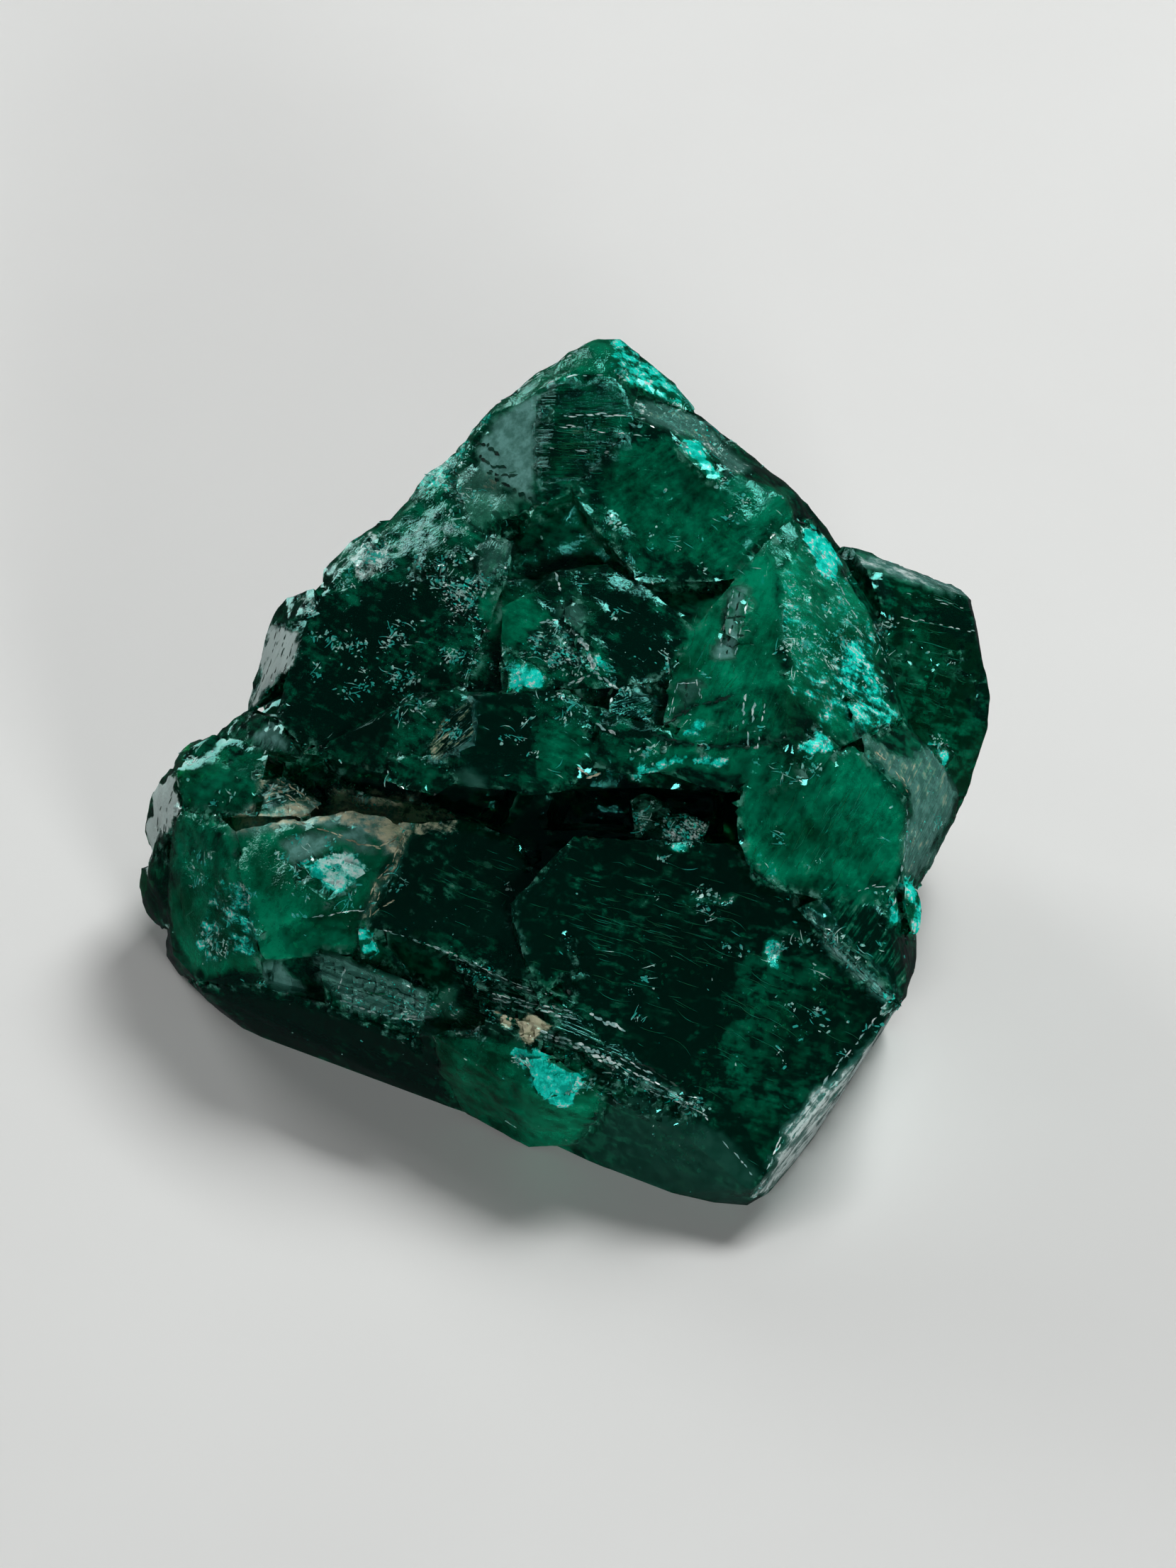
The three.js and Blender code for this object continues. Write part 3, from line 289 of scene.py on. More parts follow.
     [(-5.2, -8.9), (-3.6, -8.6), (-3, -9.6), (-3.4, -10.6), (-5, -10.6)]),
    # painted sheen in place of a reflection
    ("grey triangle beside it", "smooth", dict(painted_sheen=0.9),
     [(-12.1, -8.1), (-11.6, -8.1), (-10.2, -9.1), (-12, -9)]),
    # the slab, the ribs and the lump at the foot
    # a faint painted sheen and gleam
    ("dark slab", "smooth", dict(painted_sheen=0.03, silver=0.15, lean=-30),
     [(-6.2, -2.6), (-1.8, -2.9), (-0.5, -6), (0.5, -8), (-2, -7), (-7.8, -6.4), (-7, -4.5)]),
    ("teal cloud beside the ribs", "smooth", dict(emerald=0.45, turquoise=0.15, lean=-30),
     [(-1.2, -6.4), (0, -6.2), (0.8, -7.8), (0.3, -8.8), (-0.5, -8.2)]),
    # a faint painted gleam on the ribs
    ("growth ribs", "striated", dict(silver=0.12, lean=-23),
     [(-4.6, -7.3), (-1, -8.8), (0.6, -9.9), (3.6, -11.9), (5.8, -13.9), (2, -12.8), (-1.5, -11),
      (-4.2, -9.6)]),
    ("stain on the ribs", "scaly", dict(tan=1.4),
     [(-2.8, -9.8), (-2, -10.2), (-1.7, -9.9), (-0.7, -10.3), (-1.2, -10.5), (-1.4, -11.1),
      (-1.8, -10.5), (-2.4, -10.4)]),
    ("lump at the foot", "hackly", dict(emerald=0.75),
     [(-5.3, -10.8), (-4.8, -12.8), (-4.1, -14.1), (-2, -15.1), (0.2, -15.3), (1.7, -13.6), (1, -12.2),
      (-1.7, -11.1)]),
    ("glow under the lump's flake", "smooth", dict(emerald=0.8, turquoise=0.2),
     [(-2, -12.8), (0.8, -12.4), (1.7, -13.4), (0.4, -14.7), (-1.4, -14.6)]),
    # painted glow with painted white glints
    ("bright flake on the lump", "scaly", dict(turquoise=1.3, white=0.3),
     [(-2, -11.4), (-1, -11.3), (-0.1, -12.2), (0.9, -12.3), (0.2, -13.4), (-0.9, -13.4), (-1.3, -12.4)]),
    # the long bottom crystal and its corner
    ("long lower left side", "smooth", dict(emerald=-0.2),
     [(-16, -8), (-10, -9.4), (-5.3, -11), (-4.4, -15), (-10, -13.5)]),
    ("broad dark face", "smooth", dict(emerald=-0.2, silver=0.06, lean=-15),
     [(-1, -3), (7, -3.3), (9.2, -5.2), (13, -9.4), (12.6, -10.7), (7.7, -16.6), (5.7, -14), (0.6, -9.8),
      (-2, -6)]),
    ("green cloud low on it", "smooth", dict(emerald=0.22, silver=0.06, lean=-15),
     [(7, -7.5), (10.5, -7.6), (12.4, -10), (10, -13), (8.4, -16.4), (6.8, -13.5), (6.6, -9.5)]),
    # a faint painted sheen
    ("smooth end face", "smooth", dict(painted_sheen=0.24, lean=-20),
     [(0.4, -15.2), (2, -13.3), (4.5, -13.7), (6.5, -14.6), (8, -16.3), (7.2, -17.7), (3, -17)]),
    # painted gleam and a faint sheen
    ("grey ridge", "striated", dict(silver=0.6, painted_sheen=0.08, lean=-45),
     [(9.9, -5.8), (11.2, -7), (13.2, -8.9), (13.7, -9.5), (12.8, -9.4), (10.7, -7.3)]),
    ("striated face above the ridge", "striated", dict(silver=0.05, lean=55),
     [(10.5, -5.3), (13, -5.5), (13.9, -7.5), (13.7, -9), (11.6, -7.1)]),
    # painted reflection: sheen, gleam and white along the edge
    ("striated right-hand edge", "striated", dict(painted_sheen=0.8, silver=0.6, white=0.75, lean=52),
     [(13.4, -9.6), (12.5, -10.8), (10.2, -13), (9.1, -14.4), (7.6, -17.2), (8.8, -17), (11, -14.2),
      (13.8, -9.8)]),
]
# The same for lines, which are dark where no look is given: the name, the relief, the width in mm,
# the looks and the path. The dark creases are painted shade; the bright ones are a painted glow and gleam.
LINES = [
    ("crack beside the pale one in the middle", "smooth", 0.3, dict(),
     [(-0.3, 6.3), (0.3, 5.6), (0.9, 4.7)]),
    # painted shade: the creases below are kept clear, and so dark
    ("crease under the bright chip", "smooth", 0.3, dict(),
     [(-4.5, 3.3), (-2.4, 3), (-0.4, 3.1)]),
    ("crease under the brown chunk", "smooth", 0.35, dict(),
     [(1.5, 1.7), (2.4, 1.4), (3.7, 1.5)]),
    ("crease in the wedge", "smooth", 0.2, dict(),
     [(3.9, 1.7), (5.2, 2.5), (6.8, 2.9)]),
    ("crease along the foot of the wedge", "smooth", 0.25, dict(),
     [(3.6, 1.3), (5.6, 0.9), (7.6, 0.9), (9.2, 1.3)]),
    # painted glow and gleam along the bright lines below
    ("bright foot of the wedge", "scaly", 0.5, dict(turquoise=0.8),
     [(3.2, 0), (4.6, 0.4), (6.4, 0.2)]),
    ("crack across the broad face", "scaly", 0.3, dict(turquoise=0.5, silver=0.6),
     [(4.8, -5.4), (5.8, -5.2), (6.8, -5.3)]),
    ("chip high on the broad face", "scaly", 0.5, dict(turquoise=0.9),
     [(4.4, -3.1), (4.8, -3.1)]),
    ("chips low on the broad face", "scaly", 0.5, dict(turquoise=0.9, silver=0.4),
     [(8.3, -7.1), (8.5, -7.9)]),
    # a tan stain with a painted sheen on it
    ("stain down the block's right edge", "scaly", 0.35, dict(tan=0.62, painted_sheen=0.3),
     [(-6.3, -2.5), (-6.9, -3.9), (-7.6, -4.8), (-7.9, -5.9)]),
]
USUAL_LEAN = -25  # the angle on the front that streaks run at where a region gives none, in degrees
# Emerald and tan are the crystal's own cloud and stain; the sheen, silver and white are painted reflections
# and glints, and turquoise is a painted glow of light through thin edges.
LOOKS = ("emerald", "turquoise", "painted_sheen", "silver", "white", "tan")
GRAINS = ("smooth", "scaly", "hackly", "striated")
EMERALD_UNDER_TURQUOISE = 0.8
BASE_EMERALD = 0.15  # outside all the regions
REGION_SOFTNESS = 0.15  # how far a look fades across a region's outline, in mm
REGION_WANDER = 0.25  # how far a region's edge wanders from its outline, in mm
WANDER_SIZE = 0.9  # how long its waves are
REGION_MARGIN = 1  # how far beyond an outline its region may reach, in mm
LINE_SOFTNESS = 0.12  # lines fade and wander less
LINE_WANDER = 0.15
FACES_FRONT = -0.15  # surface turned further back than this takes no region


# ---------------- mesh helpers

TINY = 1e-12  # keeps a division by nothing from failing
WELD_WITHIN = 0.001  # corners of the CAD's triangles that lie this near are one, in mm


def placed(name, data):
    """A new object in the scene."""
    obj = bpy.data.objects.new(name, data)
    bpy.context.scene.collection.objects.link(obj)
    return obj


def even_grid(node):
    """The node's surface as points in millimetres and small even triangles. Sharp edges stay."""
    even = placed("even", node.data)
    weld = even.modifiers.new("weld", "WELD")
    weld.merge_threshold = WELD_WITHIN * MM
    grid = even.modifiers.new("grid", "REMESH")
    grid.mode = "SHARP"
    grid.octree_depth = GRID_DEPTH
    grid.scale = GRID_SHARE
    mesh = even.evaluated_get(bpy.context.evaluated_depsgraph_get()).data
    mesh.calc_loop_triangles()
    points = np.empty(len(mesh.vertices) * 3)
    mesh.vertices.foreach_get("co", points)
    triangles = np.empty(len(mesh.loop_triangles) * 3, dtype=np.int32)
    mesh.loop_triangles.foreach_get("vertices", triangles)
    bpy.data.objects.remove(even)
    return points.reshape(-1, 3) / MM, triangles.reshape(-1, 3).astype(np.int64)


def face_normals(points, triangles):
    a, b, c = (points[triangles[:, i]] for i in range(3))
    cross = np.cross(b - a, c - a)
    return cross / np.maximum(np.linalg.norm(cross, axis=1, keepdims=True), TINY)


def point_normals(points, triangles):
    """Each point's normal, and how sharp the surface is there: 0 flat, towards 1 at a spike."""
    normals = face_normals(points, triangles)
    total = np.zeros_like(points)
    weight = np.zeros(len(points))
    for i in range(3):
        before = points[triangles[:, i - 1]] - points[triangles[:, i]]
        after = points[triangles[:, (i + 1) % 3]] - points[triangles[:, i]]
        lengths = np.linalg.norm(before, axis=1) * np.linalg.norm(after, axis=1)
        angle = np.arccos(np.clip((before * after).sum(1) / np.maximum(lengths, TINY), -1, 1))
        np.add.at(total, triangles[:, i], normals * angle[:, None])
        np.add.at(weight, triangles[:, i], angle)
    length = np.linalg.norm(total, axis=1)
    return total / np.maximum(length, TINY)[:, None], 1 - length / np.maximum(weight, TINY)


def edge_list(triangles):
    """The unique edges."""
    pairs = np.concatenate([triangles[:, [0, 1]], triangles[:, [1, 2]], triangles[:, [2, 0]]])
    return np.unique(np.sort(pairs, axis=1), axis=0)


def spread(values, edges, rounds):
    """Averages values with their neighbours' along the edges, a number of times over."""
    ends = np.concatenate([edges, edges[:, ::-1]])
    degree = np.bincount(ends[:, 0], minlength=len(values))
    for _ in range(rounds):
        total = np.bincount(ends[:, 0], weights=values[ends[:, 1]], minlength=len(values))
        values = (values + total / np.maximum(degree, 1)) / 2
    return values


def make_mesh(name, points, triangles, attributes):
    """An object of triangles, with a named number at each of its points for every attribute."""
    mesh = bpy.data.meshes.new(name)
    mesh.vertices.add(len(points))
    mesh.vertices.foreach_set("co", (points * MM).ravel())
    mesh.loops.add(len(triangles) * 3)
    mesh.loops.foreach_set("vertex_index", triangles.ravel())
    mesh.polygons.add(len(triangles))
    mesh.polygons.foreach_set("loop_start", np.arange(0, len(triangles) * 3, 3))
    mesh.update(calc_edges=True)
    for key, values in attributes.items():
        mesh.attributes.new(key, "FLOAT", "POINT").data.foreach_set("value", values.astype(np.float32))
    return placed(name, mesh)


# ---------------- fields over the surface

AWAY = 100  # noises are read this far from the origin, where the grids of all their octaves meet
NOISE_FADE = 0.55  # how much weaker each octave of smooth noise is than the one before
FACET_FADE = 0.5  # and each octave of facets
FACET_SHRINK = 0.45  # how much smaller each octave of facets is
FACET_BEND = 0.2  # how far facets are bent out of line, as a share of their size
NOISE_TURNS = (0.7, 1.3, 0.4)  # how far each step of the seed turns facets about x, y and z


def scattered(cells, seed):
    """A number from 0 to 1 for each whole-numbered cell (x, y, z), the same every time."""
    x, y, z = (cells[..., i].astype(np.uint64) for i in range(3))
    mixed = x * np.uint64(73856093) ^ y * np.uint64(19349663) ^ z * np.uint64(83492791)
    mixed ^= np.uint64(seed * 2654435761)
    for shift, factor in ((33, 0xFF51AFD7ED558CCD), (29, 0xC4CEB9FE1A85EC53)):
        mixed ^= mixed >> np.uint64(shift)
        mixed *= np.uint64(factor)
    return (mixed >> np.uint64(40)).astype(float) / 2 ** 24


def smooth_noise(points, seed):
    """Smooth noise from -1 to 1, with features of about one unit."""
    base = np.floor(points).astype(np.int64)
    t = points - base
    t = t * t * t * (t * (t * 6 - 15) + 10)
    total = np.zeros(len(points))
    for corner in np.ndindex(2, 2, 2):
        share = np.prod(np.where(np.array(corner) == 1, t, 1 - t), axis=1)
        total += share * scattered(base + corner, seed)
    return total * 2 - 1


def noise_at(points, scale, seed, octaves=3):
    """Smooth noise from about -1 to 1 at points in mm, coarsest features of about `scale` mm."""
    total = np.zeros(len(points))
    for octave in range(octaves):
        total += NOISE_FADE ** octave * smooth_noise(points / scale * 2.0 ** octave + AWAY, seed + octave)
    return total


def turned(points, seed):
    """The points turned about the origin, so that noises' grids don't line up."""
    return points @ np.array(Euler([seed * turn for turn in NOISE_TURNS]).to_matrix()).T


def facet_noise(points, scale, seed):
    """Noise from -1 to 1 made of flat facets that meet at edges, about `scale` mm wide."""
    place = turned(points, seed) / scale + AWAY
    corner = np.floor(place).astype(np.int64)
    rest = place - corner
    order = np.argsort(-rest, axis=1)
    falling = np.take_along_axis(rest, order, axis=1)
    total = (1 - falling[:, 0]) * scattered(corner, seed)
    for i in range(3):
        corner = corner + (order[:, i, None] == np.arange(3))
        following = falling[:, i + 1] if i < 2 else 0
        total += (falling[:, i] - following) * scattered(corner, seed)
    return total * 2 - 1


def broken(points, scale, seed, octaves):
    """Facets within facets, as on a broken surface, from about -1 to 1."""
    bent = points + FACET_BEND * scale * smooth_noise(points / scale + AWAY / 2, seed + 5)[:, None]
    total, weight = np.zeros(len(points)), 0
    for octave in range(octaves):
        share = FACET_FADE ** octave
        total += share * facet_noise(bent, scale * FACET_SHRINK ** octave, seed + octave)
        weight += share
    return total / weight


def edge_distance(uv, a, b):
    """How far each point is from the straight edge between a and b."""
    edge = b - a
    along = np.clip((uv - a) @ edge / (edge @ edge), 0, 1)
    return np.linalg.norm(uv - a - along[:, None] * edge, axis=1)


def outline_depth(uv, outline):
    """How far inside an outline each point is, in mm. Outside it is negative."""
    corners = np.array(outline, dtype=float)
    nearest = np.full(len(uv), np.inf)
    inside = np.zeros(len(uv), dtype=bool)
    for a, b in zip(corners, np.roll(corners, -1, axis=0)):
        nearest = np.minimum(nearest, edge_distance(uv, a, b))
        if a[1] != b[1]:
            crosses = (a[1] > uv[:, 1]) != (b[1] > uv[:, 1])
            at = a[0] + (uv[:, 1] - a[1]) / (b[1] - a[1]) * (b[0] - a[0])
            inside ^= crosses & (uv[:, 0] < at)
    return np.where(inside, nearest, -nearest)


def path_depth(uv, path, width):
    """How far inside a line of some width each point is, in mm. Outside it is negative."""
    corners = np.array(path, dtype=float)
    distances = [edge_distance(uv, a, b) for a, b in zip(corners, corners[1:])]
    return width / 2 - np.min(distances, axis=0)


def smooth_step(low, high, values):
    """0 up to `low`, 1 from `high` on, and an even curve between them."""
    t = np.clip((values - low) / (high - low), 0, 1)
    return t * t * (3 - 2 * t)


def paint_regions(uvw, normals):
    """The strength of each look and each grain at every point, and the angle the streaks run at."""
    looks = {look: np.zeros(len(uvw)) for look in LOOKS}
    looks["emerald"] += BASE_EMERALD
    grains = {grain: np.zeros(len(uvw)) for grain in GRAINS}
    angle = np.full(len(uvw), math.radians(USUAL_LEAN))
    wander = noise_at(uvw, WANDER_SIZE, seed=1)
    front = normals @ OUTWARD > FACES_FRONT

    def points_near(corners):
        near = front & (uvw[:, :2] > np.min(corners, axis=0) - REGION_MARGIN).all(1)
        return near & (uvw[:, :2] < np.max(corners, axis=0) + REGION_MARGIN).all(1)

    def lay(near, share, grain, strengths):
        strengths = dict(strengths)
        under = EMERALD_UNDER_TURQUOISE * strengths.get("turquoise", 0)
        strengths["emerald"] = max(strengths.get("emerald", 0), under)
        for look in LOOKS:
            looks[look][near] += (strengths.get(look, 0) - looks[look][near]) * share
        for name in GRAINS:
            grains[name][near] += ((name == grain) - grains[name][near]) * share

    for _, grain, strengths, outline in REGIONS:
        near = points_near(outline)
        depth = outline_depth(uvw[near, :2], outline) + REGION_WANDER * wander[near]
        share = smooth_step(-REGION_SOFTNESS, REGION_SOFTNESS, depth)
        lay(near, share, grain, strengths)
        lean = math.radians(strengths.get("lean", USUAL_LEAN))
        angle[near] = np.where(share > 0.5, lean, angle[near])
    for _, grain, width, strengths, path in LINES:
        near = points_near(path)
        depth = path_depth(uvw[near, :2] + LINE_WANDER * wander[near, None], path, width)
        lay(near, smooth_step(-LINE_SOFTNESS, LINE_SOFTNESS, depth), grain, strengths)
    return looks, grains, angle


# ---------------- relief

SCALE_SIZE = 0.9  # width of the small broken facets of scaly ground, in mm
SCALE_DEPTH = 0.2  # and how far they stand in and out
HACKLE_SIZE = 2.0  # the same for the larger facets of hackly ground
HACKLE_DEPTH = 0.38
STRIA_SPACING = 0.42
STRIA_DEPTH = 0.06
STRIA_EVERYWHERE = 0.1  # how much of them even ground without striae has
STRIA_STRETCH = (0.1, 0.3)  # how fast they change along themselves and inwards, in features a mm
# How much of the small and of the larger facets each kind of ground has. Plain is outside the regions.
SCALES_ON = dict(scaly=1, plain=0.4)
HACKLES_ON = dict(hackly=1, scaly=0.55, plain=0.45, smooth=0.1, striated=0.15)
CHIP_DEPTH = 0.18  # how far sharp edges are worn back where they are chipped
CHIP_SPACING = 1.3
CHIPS_FROM = (0, 0.15)  # the sharpness over which edges begin to chip
CHIPS_OFTEN = 0.3  # the higher, the more of an edge is chipped
SKIN_DEPTH = 0.02  # faint waviness of even the smoothest faces
SKIN_SIZE = 2.4


def across_striae(uvw, angle):
    """The distance of each point across the striae that run along an angle on the front, in mm."""
    return uvw[:, 1] * np.cos(angle) - uvw[:, 0] * np.sin(angle)


def along_striae(uvw, angle):
    return uvw[:, 0] * np.cos(angle) + uvw[:, 1] * np.sin(angle)


def striae(uvw, angle):
    """Parallel growth lines of uneven width and depth."""
    across, along = across_striae(uvw, angle), along_striae(uvw, angle)
    slow_along, slow_inward = STRIA_STRETCH
    lines = np.stack([across / STRIA_SPACING, along * slow_along, uvw[:, 2] * slow_inward], axis=1)
    return smooth_noise(lines + AWAY / 2, seed=21)


def relief(uvw, sharpness, grains, angle):
    """How far the surface stands out from its flat faces at each point, in mm."""
    ground = dict(grains, plain=np.clip(1 - sum(grains.values()), 0, 1))
    scales = sum(share * ground[grain] for grain, share in SCALES_ON.items())
    hackles = sum(share * ground[grain] for grain, share in HACKLES_ON.items())
    height = SCALE_DEPTH * broken(uvw, SCALE_SIZE, seed=31, octaves=2) * scales
    height += HACKLE_DEPTH * broken(uvw, HACKLE_SIZE, seed=41, octaves=3) * hackles
    height += STRIA_DEPTH * striae(uvw, angle) * (grains["striated"] + STRIA_EVERYWHERE)
    height += SKIN_DEPTH * noise_at(uvw, SKIN_SIZE, seed=5, octaves=4)
    chipped = np.clip(noise_at(uvw, CHIP_SPACING, seed=6) + CHIPS_OFTEN, 0, 1)
    return height - CHIP_DEPTH * smooth_step(*CHIPS_FROM, sharpness) * chipped


# ---------------- the crystal's mesh

FLAT_FOOT = (0.02, 0.8)  # the heights over which the relief grows from nothing, in mm
SHARP_FROM = math.radians(24)  # edges that turn by more than this aren't smoothed over


def build_crystals():
    """The crystals as they are seen: the CAD node's faces on an even grid, with relief and looks."""
    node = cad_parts["dioptase_cluster"]
    points, triangles = even_grid(node)
    normals, sharpness = point_normals(points, triangles)
    edges = edge_list(triangles)
    uvw = to_front(points)
    looks, grains, angle = paint_regions(uvw, normals)
    sharpness = spread(sharpness, edges, rounds=2)
    height = relief(uvw, sharpness, grains, angle)
    height *= smooth_step(*FLAT_FOOT, points[:, 2])
    moved = points + normals * height[:, None]
    attributes = dict(
        looks,
        edge=sharpness,
        rough=grains["scaly"] + grains["hackly"],
        striated=grains["striated"],
        across=across_striae(uvw, angle),
        along=along_striae(uvw, angle),
    )
    piece = make_mesh("dioptase_crystals", moved, triangles, attributes)
    piece.data.polygons.foreach_set("use_smooth", np.ones(len(piece.data.polygons), dtype=bool))
    piece.data.set_sharp_from_angle(angle=SHARP_FROM)
    piece.data.materials.append(crystal_material())
    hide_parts("dioptase_cluster")
    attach(piece, "root")
    return piece


# ---------------- chips on it and veils in it

# Groups of small bright flakes and scratches on the front: the middle (u, v), how far they strew in
# mm, and how many there are. They are chips and scratches, and many stand in for painted glints.
CHIP_GROUPS = [
    # the peak and its shoulders
    (-4, 11.6, 0.9, 90), (-5.4, 12.2, 0.5, 30), (-2.2, 14.9, 0.5, 25), (6.2, 13.2, 0.9, 110),
    (4.3, 14.7, 0.6, 50), (2.4, 16, 0.4, 30), (2, 10.1, 0.6, 12), (3.3, 9.2, 0.5, 10),
    (4.3, 11.5, 0.3, 5), (6.9, 10.7, 0.9, 50), (5.2, 8.9, 0.6, 20), (0.9, 7.6, 0.3, 5),
    (-7.9, 8.7, 0.6, 220), (-5.3, 8.5, 1.1, 110), (-8.8, 7.4, 0.5, 40), (-3.9, 6.9, 0.9, 130),
    # the left flank and the middle
    (-9, 5.2, 0.5, 60), (-6.9, 5.7, 0.5, 60), (-6.4, 3.7, 0.5, 90), (-8.2, 3.4, 0.9, 60),
    (-10.3, 6.7, 0.4, 30), (-9.4, 5, 0.9, 50), (-7.2, 5.2, 0.4, 30), (-4.2, 4.4, 0.5, 60),
    (-6.2, 2.5, 0.5, 60), (-4.4, 1.4, 0.8, 50), (-2.3, 4.1, 0.4, 50), (-0.3, 5.4, 0.8, 70),
    (-0.2, 4.1, 0.8, 60), (0.3, 2.4, 0.4, 50), (2.4, 3.2, 0.4, 20), (1.7, 4.2, 0.3, 40), (2.4, 6.1, 0.3, 16),
    (3.4, 0.7, 0.5, 60), (-1, 2, 2.5, 60), (3.1, -1.9, 0.5, 60), (4.6, -2.4, 0.7, 60),
    # the wedge, the plate and the right side
    (9.9, 5.4, 1.3, 220), (11.6, 4.6, 1.1, 80), (10.9, 7.8, 0.7, 60), (12.4, 3.6, 0.8, 50),
    (4.8, 4.4, 0.7, 30), (6.6, 1.6, 1.4, 30), (10.3, 1, 0.6, 35), (9.4, -0.2, 0.8, 50),
    (8.3, -2.8, 0.5, 16), (10.3, -4.2, 0.5, 14), (12.6, -4.7, 0.3, 5), (12.9, -2.8, 0.4, 5),
    (13.3, 6, 0.6, 40), (15.4, 1, 0.5, 30), (14.9, -2, 0.8, 30), (15.2, 4.4, 1, 8),
    # the lower left
    (-14.9, 0.4, 0.6, 40), (-14, -0.9, 0.9, 20), (-9.2, -3.8, 0.6, 90), (-11.2, -3.2, 0.7, 50),
    (-10.8, -5, 0.8, 30), (-14, -7.1, 0.7, 120), (-13.2, -5.2, 0.7, 70), (-14.9, -4, 0.6, 60),
    (-8.4, -5.4, 0.7, 30), (-11.2, -1.1, 0.9, 40), (-7.6, -1.3, 1.3, 60), (-6.6, -4.2, 0.7, 40),
    (-6, -9.9, 0.9, 60),
    # the slab, the ribs, the lump and the broad face
    (-3.2, -5, 1.4, 8), (-3.3, -8.4, 0.4, 12), (-1.5, -12, 0.5, 60), (0.7, -12.5, 0.5, 50),
    (2.2, -12.1, 0.4, 40), (5.4, -13.5, 0.4, 40), (5.8, -5.3, 0.6, 50), (6.9, -7.2, 0.7, 20),
    (8.5, -7.3, 0.4, 50), (9.4, -6.4, 0.7, 30), (10.7, -8, 0.7, 12), (9.8, -10.3, 0.6, 40),
    (10.7, -10.8, 0.6, 14), (3.4, -8.2, 1, 20), (2.6, -9.2, 0.9, 14), (7.8, -12, 1.6, 16),
    (4.6, -6.6, 1.6, 20), (7.6, -9.4, 1.8, 24), (11.6, -7.3, 0.8, 70), (12.8, -10.1, 0.8, 60),
    (3.2, -15.4, 1.6, 6),
]
STREWN_CHIPS = 500  # others that lie anywhere, all the way round
CHIP_SIZE = (0.014, 0.11)
SMALLER_OFTEN = 2.5  # the power that makes small flakes more usual than large ones
CHIP_TURN = 0.6  # how far they turn from their lean, in radians
CLUMP = 14  # the most flakes that lie together, and how far they scatter in mm
CLUMP_REACH = 0.14
CLUMPS_SPREAD = 0.6  # how far the clumps scatter, as a share of their group's reach
SCRATCH_LENGTH = (0.15, 0.7)
SCRATCH_WIDTH = 0.04
SCRATCH_SHARE = 0.12  # the rest are chips
SCRATCH_TURN = 0.3
CHIP_LEANS = (-20, -20, 50, 75)  # the angles on the front that the flakes of a clump point at
CHIP_CORNERS = 6
CHIP_STRETCH = (1.0, 1.9)  # how far they are drawn out
CORNER_STRAY = 0.25  # how far a corner strays, as a share of the turn to the next one
UNEVEN = (0.6, 1.0)  # how far corners reach and how wide slivers are, as a share of the most
SLIVER_STEPS = 5  # how many points each side of a sliver has
SLIVER_BEND = 0.07  # how far its middle bends out, as a share of its length
SLIVER_TIP = 0.15  # how wide its tips are, as a share of its middle
CHIP_STANDS = 0.012  # above the surface, and CHIP_SINKS below it, in mm
CHIP_SINKS = 0.05
STREW_RISE = 0.2  # strewn ones lie a little more often on the upper side
STREW_AIM = 0.7  # they are found by looking at places within this share of the CAD box
BARE_FOOT = 0.5  # none lies lower than this, in mm
BEYOND = 60  # a distance outside all of the specimen, in mm
BEFORE_FRONT = 20  # how far out places on the front are looked for from, in mm
NEARLY_ACROSS = 0.9  # a normal this near to straight across gives no direction across

